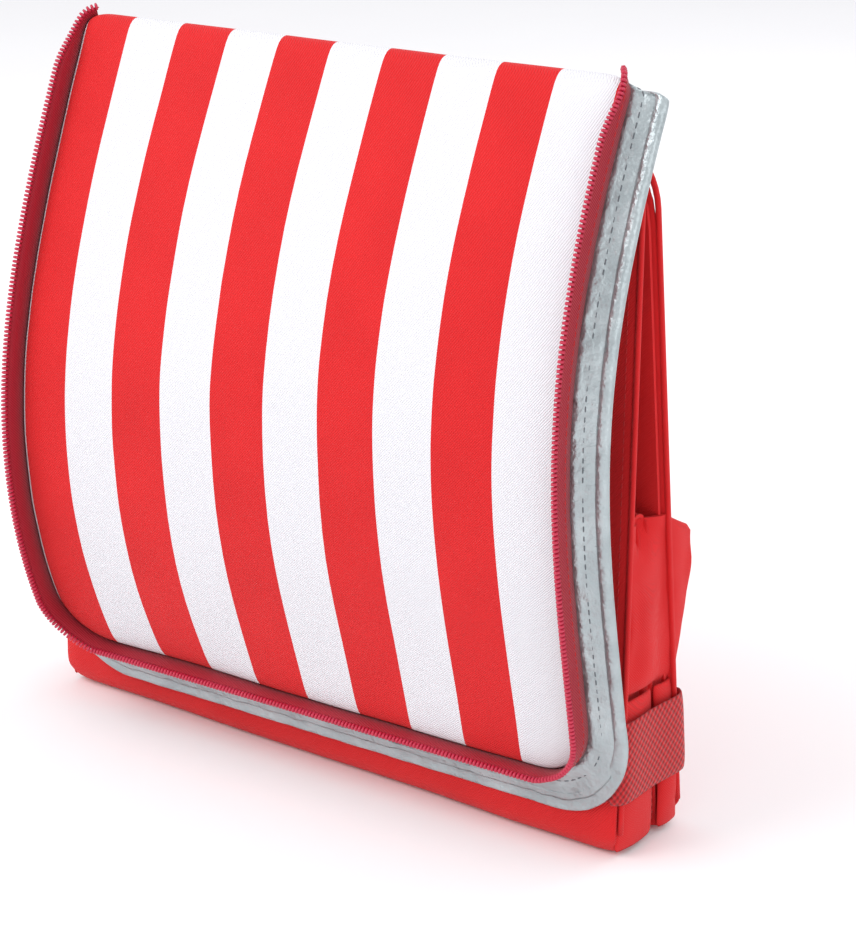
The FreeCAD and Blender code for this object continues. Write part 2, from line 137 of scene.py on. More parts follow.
class Finish:
    """A material under construction: its tree, its shader and a few patterns in real millimetres."""

    def __init__(self, name: str, roughness: float, **shader_values: object) -> None:
        """Start a material.

        Args:
            name: Name of the finish.
            roughness: Even roughness of the surface.
            **shader_values: Other shader inputs, with underscores for spaces.
        """
        self.material = bpy.data.materials.new(name)
        self.material.use_nodes = True
        self.tree = self.material.node_tree
        self.shader = next(item for item in self.tree.nodes if item.type == "BSDF_PRINCIPLED")
        self.shader.inputs["Roughness"].default_value = roughness
        for key, given in shader_values.items():
            self.shader.inputs[key.replace("_", " ")].default_value = given
        coordinates = self.add("ShaderNodeTexCoord")
        self.place = coordinates.outputs["Object"]
        self.axes = self.add("ShaderNodeSeparateXYZ", {0: self.place}).outputs

    def add(self, kind: str, inputs: dict | None = None, **settings: object) -> bpy.types.Node:
        """Add a node to this material."""
        return node(self.tree, kind, inputs, **settings)

    def math(self, operation: str, *values: object) -> bpy.types.NodeSocket:
        """Result of one Math node on the given values or sockets."""
        return self.add("ShaderNodeMath", dict(enumerate(values)), operation=operation).outputs[0]

    def cloud(self, size_mm: float, detail: float = 2.0, stretch: tuple = (1, 1, 1)) -> bpy.types.NodeSocket:
        """Noise whose blotches are about a size.

        Args:
            size_mm: Width of a blotch.
            detail: Octaves of finer noise.
            stretch: Scale along each axis, to draw the blotches out.

        Returns:
            The noise value, about 0.5 on average.
        """
        place = self.add("ShaderNodeMapping", {"Vector": self.place, "Scale": stretch}).outputs[0]
        made = self.add("ShaderNodeTexNoise",
                        {"Vector": place, "Scale": 1 / (size_mm * MM), "Detail": detail})
        return made.outputs[0]

    def ridges(self, pitch_mm: float, weights: Sequence[float]) -> bpy.types.NodeSocket:
        """Even ridges across a direction.

        Args:
            pitch_mm: Distance from ridge to ridge.
            weights: How much X, Y and Z count.

        Returns:
            A wave between 0 and 1.
        """
        total: object = 0.0
        for axis, weight in zip(self.axes, weights):
            total = self.math("MULTIPLY_ADD", axis, weight, total)
        wave = self.math("SINE", self.math("MULTIPLY", total, 2 * math.pi / (pitch_mm * MM)))
        return self.math("MULTIPLY_ADD", wave, 0.5, 0.5)

    def mix(self, amount: object, first: object, second: object, blend: str = "MIX") -> bpy.types.NodeSocket:
        """Mix two colours by an amount."""
        made = self.add("ShaderNodeMix", {0: amount, 6: first, 7: second}, data_type="RGBA", blend_type=blend)
        return made.outputs[2]

    def bumps(self, *layers: tuple[object, float]) -> None:
        """Bump the surface with height patterns.

        Args:
            *layers: Each a height socket and the depth in millimetres between its 0 and its 1.
        """
        normal: object = None
        for height, depth_mm in layers:
            inputs = {"Height": height, "Distance": depth_mm * MM, "Strength": 1.0}
            if normal:
                inputs["Normal"] = normal
            normal = self.add("ShaderNodeBump", inputs).outputs[0]
        self.tree.links.new(normal, self.shader.inputs["Normal"])

    def colour(self, source: object) -> None:
        """Feed the shader's base colour."""
        self.tree.links.new(source, self.shader.inputs["Base Color"])


# ---------------------------------------------------------------- finishes

@dataclass(frozen=True)
class Twill:
    """600-denier polyester twill, woven on the diagonal: matt, faintly fuzzy, with fine slanting ribs and
    painted shade in the lines between them.
    """
    name: str = "red polyester twill"
    colour: str = "#EA1F22"
    deep: str = "#D51318"
    white: str = "#F0F0F4"
    rib_mm: float = 1.3            # real ribs are 0.8 mm: drawn wider so that they show
    stripe_mm: float = 29.2
    first_edge_mm: float = -109.5  # X of the left red stripe's edge
    selvedge_mm: float = -136.4    # unprinted edge beyond this X
    groove_share: float = 0.22     # painted shade: how dark the grooves between the ribs are painted
    sheen: float = 0.08

    def make(self, striped: bool) -> bpy.types.Material:
        """Build the cloth, plain or with printed stripes.

        Args:
            striped: Whether white stripes are printed on it.

        Returns:
            The material.
        """
        finish = Finish(f"{'striped' if striped else 'plain'} {self.name}", 0.72, Sheen_Weight=self.sheen,
                        Sheen_Roughness=0.4, Specular_IOR_Level=0.32)
        rib = finish.ridges(self.rib_mm, (1.0, 1.0, -1.0))
        weft = finish.ridges(self.rib_mm * 0.55, (1.0, -0.4, 1.0))
        fade = finish.cloud(38.0)
        base: object = finish.mix(fade, linear(self.deep), linear(self.colour))
        if striped:
            shifted = finish.math("SUBTRACT", finish.axes[0], self.first_edge_mm * MM)
            turn = finish.math("FLOORED_MODULO", shifted, 2 * self.stripe_mm * MM)
            printed = finish.math("GREATER_THAN", turn, self.stripe_mm * MM)
            edge = finish.math("GREATER_THAN", finish.axes[0], self.selvedge_mm * MM)
            base = finish.mix(finish.math("MULTIPLY", printed, edge), linear(self.white), base)
        # painted shade: the rib lines are darkened in the colour, on top of their bump
        painted_groove_shade = finish.mix(1.0, base, (0.55, 0.5, 0.55, 1.0), "MULTIPLY")
        base = finish.mix(finish.math("MULTIPLY", rib, self.groove_share), base, painted_groove_shade)
        finish.colour(base)
        finish.bumps((rib, 0.22), (weft, 0.08), (finish.cloud(14.0, 3.0), 0.35))
        return finish.material


@dataclass(frozen=True)
class Foil:
    """Aluminised film on foam: silvery, creased, with sharp little highlights along the creases."""
    colour: str = "#C6CFD1"
    shade: str = "#8E999C"

    def make(self) -> bpy.types.Material:
        """Build the foil.

        Returns:
            The material.
        """
        finish = Finish("metallised foil film", 0.33, Metallic=0.72, Specular_IOR_Level=0.5)
        creases = finish.cloud(5.0, 5.0)
        tint = finish.mix(finish.cloud(16.0, 4.0), linear(self.shade), linear(self.colour))
        finish.colour(tint)
        finish.bumps((creases, 1.4), (finish.cloud(1.6, 2.0), 0.22))
        return finish.material


@dataclass(frozen=True)
class ZipTape:
    """Woven polyester zip tape: a tight herringbone rib with painted shade in its low lines, slightly
    glossier than the cloth.
    """
    colour: str = "#B50C2A"
    # painted shade: colour of the rib's low lines
    deep: str = "#86061C"

    def make(self) -> bpy.types.Material:
        """Build the tape.

        Returns:
            The material.
        """
        finish = Finish("woven polyester zip tape", 0.6, Sheen_Weight=0.12, Specular_IOR_Level=0.35)
        rib = finish.ridges(1.3, (0.5, 1.0, 1.0))
        # painted shade: the rib's low lines take the deep colour
        finish.colour(finish.mix(rib, linear(self.deep), linear(self.colour)))
        finish.bumps((rib, 0.16), (finish.cloud(8.0), 0.2))
        return finish.material


@dataclass(frozen=True)
class Moulding:
    """A dyed or painted moulding: even colour with a faint mottle and a soft gloss."""
    name: str
    colour: str
    roughness: float
    coat: float = 0.0

    def make(self) -> bpy.types.Material:
        """Build the moulding's finish.

        Returns:
            The material.
        """
        finish = Finish(self.name, self.roughness, Coat_Weight=self.coat, Coat_Roughness=0.15)
        deep = finish.mix(1.0, linear(self.colour), (0.8, 0.75, 0.78, 1.0), "MULTIPLY")
        finish.colour(finish.mix(finish.cloud(3.0), deep, linear(self.colour)))
        finish.bumps((finish.cloud(0.9), 0.03))
        return finish.material


@dataclass(frozen=True)
class Webbing:
    """Polyester webbing, basket woven: coarse blocks of thread, turning over and under, with painted shade on
    the sunken blocks.
    """
    colour: str = "#D8181F"
    # painted shade: colour of the sunken blocks of the weave
    deep: str = "#7E070D"
    block_mm: float = 3.6

    def make(self) -> bpy.types.Material:
        """Build the webbing.

        Returns:
            The material.
        """
        finish = Finish("basket-woven webbing", 0.66, Sheen_Weight=0.15, Specular_IOR_Level=0.35)
        along = finish.math("ADD", finish.axes[0], finish.axes[1])
        rate = 2 * math.pi / (self.block_mm * MM)
        warp = finish.math("SINE", finish.math("MULTIPLY", along, rate))
        weft = finish.math("SINE", finish.math("MULTIPLY", finish.axes[2], rate))
        basket = finish.math("MULTIPLY_ADD", finish.math("MULTIPLY", warp, weft), 0.5, 0.5)
        thread = finish.ridges(0.9, (1.0, 1.0, 0.6))
        # painted shade: the weave's low blocks take the deep colour
        finish.colour(finish.mix(basket, linear(self.deep), linear(self.colour)))
        finish.bumps((basket, 0.7), (thread, 0.12))
        return finish.material


@dataclass(frozen=True)
class Backdrop:
    """Matt white paper."""
    colour: str = "#FBFAFB"

    def make(self) -> bpy.types.Material:
        """Build the paper.

        Returns:
            The material.
        """
        finish = Finish("white paper", 0.9, Specular_IOR_Level=0.1)
        finish.colour(finish.mix(finish.cloud(400.0), linear(self.colour), linear("#FFFFFF")))
        return finish.material


class Finishes:
    """Every finish of the bag, made once."""

    def __init__(self) -> None:
        """Build all materials."""
        self.striped = Twill().make(True)
        self.red = Twill().make(False)
        self.foil = Foil().make()
        self.tape = ZipTape().make()
        self.coil = Moulding("nylon zip coil", "#C92A4A", 0.38).make()
        self.webbing = Webbing().make()
        self.acetal = Moulding("moulded acetal", "#A40C1C", 0.42).make()
        self.zinc = Moulding("lacquered die-cast zinc", "#A80C2A", 0.3, 0.5).make()
        self.thread = Moulding("polyester thread", "#C21A1E", 0.6).make()
        self.grey_thread = Moulding("grey polyester thread", "#6E777B", 0.6).make()
        self.paper = Backdrop().make()


# ---------------------------------------------------------------- mesh helpers

def piece(name: str, points: Iterable[Vector], faces: Iterable[Sequence[int]],
          material: bpy.types.Material) -> bpy.types.Object:
    """Make a smooth-shaded object from points in millimetres.

    Args:
        name: Name of the piece.
        points: Corner points, in millimetres.
        faces: Corner numbers of each face.
        material: Its finish.

    Returns:
        The object, linked to the scene.
    """
    mesh = bpy.data.meshes.new(name)
    mesh.from_pydata([tuple(point * MM) for point in points], [], [tuple(face) for face in faces])
    mesh.validate()
    mesh.materials.append(material)
    mesh.shade_smooth()
    made = bpy.data.objects.new(name, mesh)
    bpy.context.scene.collection.objects.link(made)
    return made


def settled(made: bpy.types.Object) -> bpy.types.Object:
    """Turn an object's modifiers into plain mesh.

    Args:
        made: Object with live modifiers.

    Returns:
        The same object, with its evaluated mesh and no modifier.
    """
    graph = bpy.context.evaluated_depsgraph_get()
    mesh = bpy.data.meshes.new_from_object(made.evaluated_get(graph), depsgraph=graph)
    mesh.name = made.name
    made.modifiers.clear()
    made.data = mesh
    return made


def smoothed(made: bpy.types.Object) -> bpy.types.Object:
    """Subdivide an object once, as plain mesh.

    Args:
        made: Object to smooth.

    Returns:
        The same object.
    """
    smoother = made.modifiers.new("smooth", "SUBSURF")
    smoother.levels = smoother.render_levels = 1
    return settled(made)


def rumpled(made: bpy.types.Object, *layers: tuple[int, float, float, tuple[float, float, float]]) -> None:
    """Shift the corners of a mesh by soft fixed unevenness.

    Args:
        made: Object to rumple.
        *layers: Each the axis that moves, the size and depth of the unevenness, and a shift of its pattern.
    """
    for vertex in made.data.vertices:
        point = vertex.co / MM
        for axis, size, depth, shift in layers:
            vertex.co[axis] += crumple(point + Vector(shift), size, depth) * MM


def on_body(made: bpy.types.Object, body: str, slot: str, *nodes: str) -> None:
    """Fix a piece to one moving body.

    Args:
        made: The piece.
        body: Body that it rides on.
        slot: Not used.
        *nodes: CAD nodes that it stands for.
    """
    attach(made, body)
    if nodes:
        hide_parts(*nodes)


def between_halves(made: bpy.types.Object, slot: str, front: float, rear: float) -> None:
    """Bake a piece's transform into its mesh.

    Args:
        made: The piece.
        slot: Not used.
        front: Y where it leaves the front half, in millimetres; not used.
        rear: Y where it reaches the rear half; not used.
    """
    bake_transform(made)


def laminate(name: str, grid: Grid, thickness: float, material: bpy.types.Material, fullness: float = 0.35,
             subdivide: bool = True, kept: tuple[int, int] | None = None) -> bpy.types.Object:
    """Make a closed layer of cloth or padding round a grid of middle points.

    Args:
        name: Name of the piece.
        grid: Rows of middle points, in millimetres.
        thickness: Thickness away from the edges.
        material: Its finish.
        fullness: Share of the thickness that is left at the edges.
        subdivide: Whether it is subdivided once; a cut strip isn't, so that it meets its neighbours.
        kept: First and last row that the piece keeps, when the grid is cut into strips.

    Returns:
        The finished plain object.
    """
    rows, columns = len(grid), len(grid[0])
    first_row, last_row = kept or (0, rows - 1)
    front: list[Vector] = []
    back: list[Vector] = []
    for row in range(first_row, last_row + 1):
        for column in range(columns):
            down = grid[min(row + 1, rows - 1)][column] - grid[max(row - 1, 0)][column]
            across = grid[row][min(column + 1, columns - 1)] - grid[row][max(column - 1, 0)]
            normal = down.cross(across)
            normal = normal.normalized() if normal.length > 1e-9 else Vector((0, -1, 0))
            at_edge = row in (0, rows - 1) or column in (0, columns - 1)
            half = thickness / 2 * (fullness if at_edge else 1.0)
            front.append(grid[row][column] + normal * half)
            back.append(grid[row][column] - normal * half)
    rows = last_row - first_row + 1
    count = rows * columns
    faces: list[tuple[int, ...]] = []
    for row in range(rows - 1):
        for column in range(columns - 1):
            a = row * columns + column
            b, c, d = a + 1, a + columns + 1, a + columns
            faces += [(a, d, c, b), (count + a, count + b, count + c, count + d)]
    rim = list(range(columns))
    rim += [row * columns + columns - 1 for row in range(1, rows)]
    rim += [(rows - 1) * columns + column for column in range(columns - 2, -1, -1)]
    rim += [row * columns for row in range(rows - 2, 0, -1)]
    for first, second in zip(rim, rim[1:] + rim[:1]):
        faces.append((first, second, count + second, count + first))
    made = piece(name, front + back, faces, material)
    outward(made)
    if subdivide:
        return smoothed(made)
    made.data.set_sharp_from_angle(angle=SHARP)
    return made


def outward(made: bpy.types.Object) -> None:
    """Point every face of a closed mesh outwards.

    Args:
        made: Object with the mesh.
    """
    work = bmesh.new()
    work.from_mesh(made.data)
    bmesh.ops.recalc_face_normals(work, faces=work.faces)
    work.to_mesh(made.data)
    work.free()


def tube_section(centre: tuple[float, float], radius: float, sides: int) -> list[tuple[float, float]]:
    """Points of a round section, as pairs of outward growth and depth."""
    turns = [2 * math.pi * index / sides for index in range(sides)]
    return [(centre[0] + radius * math.cos(turn), centre[1] + radius * math.sin(turn)) for turn in turns]


def sweep(name: str, loops: list[list[Vector]], material: bpy.types.Material) -> bpy.types.Object:
    """Skin a row of closed loops and close both ends.

    Args:
        name: Name of the piece.
        loops: Closed sections, each with as many points.
        material: Its finish.

    Returns:
        The closed object.
    """
    count = len(loops[0])
    faces: list[tuple[int, ...]] = []
    for index in range(len(loops) - 1):
        for step in range(count):
            following = (step + 1) % count
            faces.append((index * count + step, index * count + following,
                          (index + 1) * count + following, (index + 1) * count + step))
    points = [point for loop in loops for point in loop]
    for start in (0, (len(loops) - 1) * count):
        centre = len(points)
        points.append(sum(points[start:start + count], Vector()) / count)
        faces += [(start + step, start + (step + 1) % count, centre) for step in range(count)]
    made = piece(name, points, faces, material)
    outward(made)
    return made


def tube(name: str, path: Sequence[Vector], radius: float, material: bpy.types.Material,
         sides: int = 8) -> bpy.types.Object:
    """A round roll along a path.

    Args:
        name: Name of the piece.
        path: Middle points, in millimetres.
        radius: Radius of the roll.
        material: Its finish.
        sides: Corners of its section.

    Returns:
        The closed roll.
    """
    loops = []
    section = tube_section((0, 0), radius, sides)
    normal = Vector((0, 1, 0))
    for index, point in enumerate(path):
        tangent = (path[min(index + 1, len(path) - 1)] - path[max(index - 1, 0)]).normalized()
        normal = (normal - tangent * normal.dot(tangent)).normalized()
        beside = tangent.cross(normal)
        loops.append([point + normal * out + beside * across for across, out in section])
    return sweep(name, loops, material)


def rounded_block(name: str, corners: Sequence[Vector], bevel: float,
                  material: bpy.types.Material) -> bpy.types.Object:
    """A six-sided block with rounded edges.

    Args:
        name: Name of the piece.
        corners: Lower four corners in turn, then the upper four.
        bevel: Radius of the edges.
        material: Its finish.

    Returns:
        The rounded block.
    """
    faces = [(0, 1, 2, 3), (4, 5, 6, 7), (0, 1, 5, 4), (1, 2, 6, 5), (2, 3, 7, 6), (3, 0, 4, 7)]
    made = piece(name, corners, faces, material)
    outward(made)
    edge = made.modifiers.new("round", "BEVEL")
    edge.width = bevel * MM
    edge.segments = 3
    settled(made)
    made.data.set_sharp_from_angle(angle=SHARP)
    return made


def repeat_tree(name: str, material: bpy.types.Material) -> bpy.types.NodeTree:
    """Geometry Nodes that set copies of an item along a rail at an even spacing.

    The rail's points carry a vector "out": the direction that the item's own Z turns to.

    Args:
        name: Name of the tree.
        material: Finish of the copies.

    Returns:
        The tree, with inputs Item and Spacing.
    """
    tree = bpy.data.node_groups.new(name, "GeometryNodeTree")
    tree.interface.new_socket("Geometry", in_out="INPUT", socket_type="NodeSocketGeometry")
    tree.interface.new_socket("Item", in_out="INPUT", socket_type="NodeSocketObject")
    tree.interface.new_socket("Spacing", in_out="INPUT", socket_type="NodeSocketFloat")
    tree.interface.new_socket("Geometry", in_out="OUTPUT", socket_type="NodeSocketGeometry")
    entry = node(tree, "NodeGroupInput")
    curve = node(tree, "GeometryNodeMeshToCurve", {0: entry.outputs["Geometry"]})
    even = node(tree, "GeometryNodeResampleCurve",
                {"Curve": curve.outputs[0], "Length": entry.outputs["Spacing"]}, mode="LENGTH")
    out = node(tree, "GeometryNodeInputNamedAttribute", {"Name": "out"}, data_type="FLOAT_VECTOR")
    along = node(tree, "GeometryNodeInputTangent")
    upright = node(tree, "FunctionNodeAlignRotationToVector", {"Vector": out.outputs[0]}, axis="Z")
    turned = node(tree, "FunctionNodeAlignRotationToVector",
                  {"Rotation": upright.outputs[0], "Vector": along.outputs[0]}, axis="X", pivot_axis="Z")
    item = node(tree, "GeometryNodeObjectInfo", {"Object": entry.outputs["Item"]})
    copies = node(tree, "GeometryNodeInstanceOnPoints",
                  {"Points": even.outputs[0], "Instance": item.outputs["Geometry"],
                   "Rotation": turned.outputs[0]})
    real = node(tree, "GeometryNodeRealizeInstances", {0: copies.outputs[0]})
    dressed = node(tree, "GeometryNodeSetMaterial", {"Geometry": real.outputs[0], "Material": material})
    leave = node(tree, "NodeGroupOutput")
    tree.links.new(dressed.outputs[0], leave.inputs[0])
    return tree


@dataclass
class Repeats:
    """Copies of a small item along rails: zip teeth and stitches."""
    name: str
    length: float
    width: float
    height: float
    spacing: float
    material: bpy.types.Material
    tree: bpy.types.NodeTree = field(init=False)
    item: bpy.types.Object = field(init=False)

    def __post_init__(self) -> None:
        """Build the item and the node tree."""
        self.tree = repeat_tree(self.name, self.material)
        self.item = self.bead()

    def bead(self) -> bpy.types.Object:
        """A small rounded bar, its length along X and its top along Z.

        Returns:
            The bar, kept out of the scene.
        """
        loops = []
        for place, size in ((-0.5, 0.45), (-0.32, 0.9), (0.32, 0.9), (0.5, 0.45)):
            ring = []
            for turn in range(6):
                angle = math.pi * turn / 3
                ring.append(Vector((place * self.length, math.cos(angle) * self.width / 2 * size,
                                    math.sin(angle) * self.height / 2 * size)))
            loops.append(ring)
        made = sweep(f"{self.name}_item", loops, self.material)
        bpy.context.scene.collection.objects.unlink(made)
        return made

    def along(self, name: str, rails: list[Rail]) -> bpy.types.Object:
        """Set copies along rails.

        Args:
            name: Name of the piece.
            rails: Each a list of points, in millimetres, with the direction out of the surface.

        Returns:
            One plain mesh with all the copies.
        """
        points = [point for rail in rails for point, _ in rail]
        edges = []
        start = 0
        for rail in rails:
            edges += [(start + index, start + index + 1) for index in range(len(rail) - 1)]
            start += len(rail)
        mesh = bpy.data.meshes.new(name)
        mesh.from_pydata([tuple(point * MM) for point in points], edges, [])
        outs = mesh.attributes.new("out", "FLOAT_VECTOR", "POINT")
        outs.data.foreach_set("vector", [part for rail in rails for _, out in rail for part in out])
        made = bpy.data.objects.new(name, mesh)
        bpy.context.scene.collection.objects.link(made)
        repeat = made.modifiers.new("repeat", "NODES")
        repeat.node_group = self.tree
        sockets = {item.name: item.identifier for item in self.tree.interface.items_tree
                   if item.in_out == "INPUT"}
        repeat[sockets["Item"]] = self.item
        repeat[sockets["Spacing"]] = self.spacing * MM
        return settled(made)


# ---------------------------------------------------------------- the folded section

@dataclass
class Section:
    """Lines of the folded bag in the middle plane, in millimetres, taken from the frame."""
    rim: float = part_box("front_wall_cover")[1][2] / MM
    half_width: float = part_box("front_wall_cover")[1][0] / MM
    foot: float = 25.0
    front_lean: float = 5.0
    rear_lean: float = 33.6
    corner: float = 32.0
    crease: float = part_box("front_floor_half")[1][2] / MM
    top_rise: float = 8.0          # the walls' padding stands this far above the rim

    def front(self, height: float) -> float:
        """Y of the front wall's outer face."""
        return -self.foot + self.front_lean * height / self.rim

    def rear(self, height: float) -> float:
        """Y of the rear wall's outer face."""
        return self.foot - self.rear_lean * height / self.rim

    def face(self, wall: Wall, height: float) -> float:
        """Y of a wall's outer face."""
        return self.front(height) if wall is Wall.FRONT else self.rear(height)

    def middle(self, height: float) -> float:
        """Y halfway between the two outer faces."""
        return (self.front(height) + self.rear(height)) / 2

    @property
    def top(self) -> float:
        """Height of the walls' top edge."""
        return self.rim + self.top_rise

    def half_at(self, height: float) -> float:
        """Half the wall's width, with rounded top corners.

        Args:
            height: Height above the floor.

        Returns:
            Half the width.
        """
        above = height - (self.top - self.corner)
        if above <= 0:
            return self.half_width
        return self.half_width - self.corner + math.sqrt(max(self.corner ** 2 - above ** 2, 0.0))


def ease(value: float) -> float:
    """Smooth step from 0 to 1."""
    value = min(max(value, 0.0), 1.0)
    return value * value * (3 - 2 * value)


def crumple(point: Vector, size: float, depth: float) -> float:
    """Soft fixed unevenness at a point."""
    return depth * noise.noise(point / size)


def catmull(points: Sequence[tuple[float, float]], steps: int) -> list[tuple[float, float]]:
    """Smooth line through points.

    Args:
        points: The points to pass through.
        steps: Samples from one point to the next.

    Returns:
        The sampled line.
    """
    line = []
    for index in range(len(points) - 1):
        four = [points[min(max(near, 0), len(points) - 1)] for near in range(index - 1, index + 3)]
        for step in range(steps):
            t = step / steps
            line.append(tuple(0.5 * (2 * b + (c - a) * t + (2 * a - 5 * b + 4 * c - d) * t ** 2
                                     + (3 * b - a - 3 * c + d) * t ** 3) for a, b, c, d in zip(*four)))
    return [*line, points[-1]]


@dataclass
class WallAndFloor:
    """One wall with the floor half that turns under it and rises inside."""
    section: Section
    finishes: Finishes
    thickness: float = 3.6
    lobe: float = 3.0              # how far the floor's fold bulges past the wall
    crease_offset: float = 6.0     # Y of the line between the two floor legs
    leg_gap: float = 3.4
    leg_foot: float = 9.0
    edge_inset: float = 0.6
    floor_inset: float = 3.0
    columns: int = 41
    fill: float = 0.45

    def path(self, wall: Wall) -> list[tuple[float, float]]:
        """Middle line of the layer from the rim down, under and up to the crease.

        Args:
            wall: Which wall.

        Returns:
            Y and Z of each point.
        """
        half, sign, lobe, foot = self.thickness / 2, wall.value, self.lobe, self.leg_foot
        crease = self.section.crease
        inner = self.crease_offset - sign * self.leg_gap
        rise = self.section.middle(crease) - sign * self.leg_gap - inner

        def inside(height: float, depth: float, z: float | None = None) -> tuple[float, float]:
            """Point at a depth inside the wall's face."""
            return self.section.face(wall, height) + sign * depth, height if z is None else z

        outer = [inside(height, half) for height in (self.section.top, 250, 190, 130, 80)]
        outer += [inside(52, half - lobe * 0.4), inside(26, half - lobe), inside(9, half - lobe * 0.8),
                  inside(0, half + 4, half + 0.4)]
        under = [((self.section.face(wall, 0) + inner) / 2, half + 0.2), (inner - sign * 1.5, half + 0.8),
                 (inner, foot)]
        up = [(inner + rise * share, foot + (crease - foot) * share) for share in (0.3, 0.65, 1.0)]
        return catmull(outer + under + up, 4)

    def make(self, wall: Wall) -> bpy.types.Object:
        """Build the piece.

        Args:
            wall: Which wall.

        Returns:
            The padded wall with its floor half.
        """
        line = self.path(wall)
        rows: Grid = []
        for index, (y, z) in enumerate(line):
            half = self.section.half_width - self.floor_inset
            if index < len(line) / 2:
                half = self.section.half_at(z) - self.edge_inset
            row = []
            for step in range(self.columns):
                share = 2 * step / (self.columns - 1) - 1
                share = math.copysign(abs(share) ** 0.85, share)
                point = Vector((share * half, y, z))
                sag = crumple(point, 70, 1.2) + crumple(point, 24, 0.5)
                point.y += sag * (0.3 + 0.7 * ease(1 - z / 120))
                row.append(point)
            rows.append(row)
        side = wall.word
        made = laminate(f"{side}_wall", rows, self.thickness, self.finishes.red, 0.4)
        on_body(made, wall.body, "red_twill", f"{side}_wall_cover", f"{side}_wall_foam",
                f"{side}_wall_lining", f"{side}_floor_half")
        return made


# ---------------------------------------------------------------- lid

def straight(start: tuple[float, float], end: tuple[float, float], out: tuple[float, float],
             step: float) -> list[Sample]:
    """Samples along a straight edge of the lid's pattern.

    Args:
        start: X and height of the first sample.
        end: X and height that the last sample stops short of.
        out: Direction outwards.
        step: Distance from sample to sample.

    Returns:
        The samples.
    """
    count = max(round(math.dist(start, end) / step), 1)
    return [(start[0] + (end[0] - start[0]) * index / count, start[1] + (end[1] - start[1]) * index / count,
             *out) for index in range(count)]


def round_corner(x: float, h: float, radius: float, first: float, step: float) -> list[Sample]:
    """Samples round a corner of the lid's pattern, clockwise over a quarter turn.

    Args:
        x: X of the corner's centre.
        h: Height of the corner's centre.
        radius: Radius of the corner.
        first: Angle of the first sample, in degrees.
        step: Distance from sample to sample on a straight edge; a corner has them closer.

    Returns:
        The samples.
    """
    count = max(round(radius * math.pi / 2 / step * 1.4), 6)
    turns = [math.radians(first - 90 * index / count) for index in range(count)]
    return [(x + radius * math.cos(turn), h + radius * math.sin(turn), math.cos(turn), math.sin(turn))
            for turn in turns]


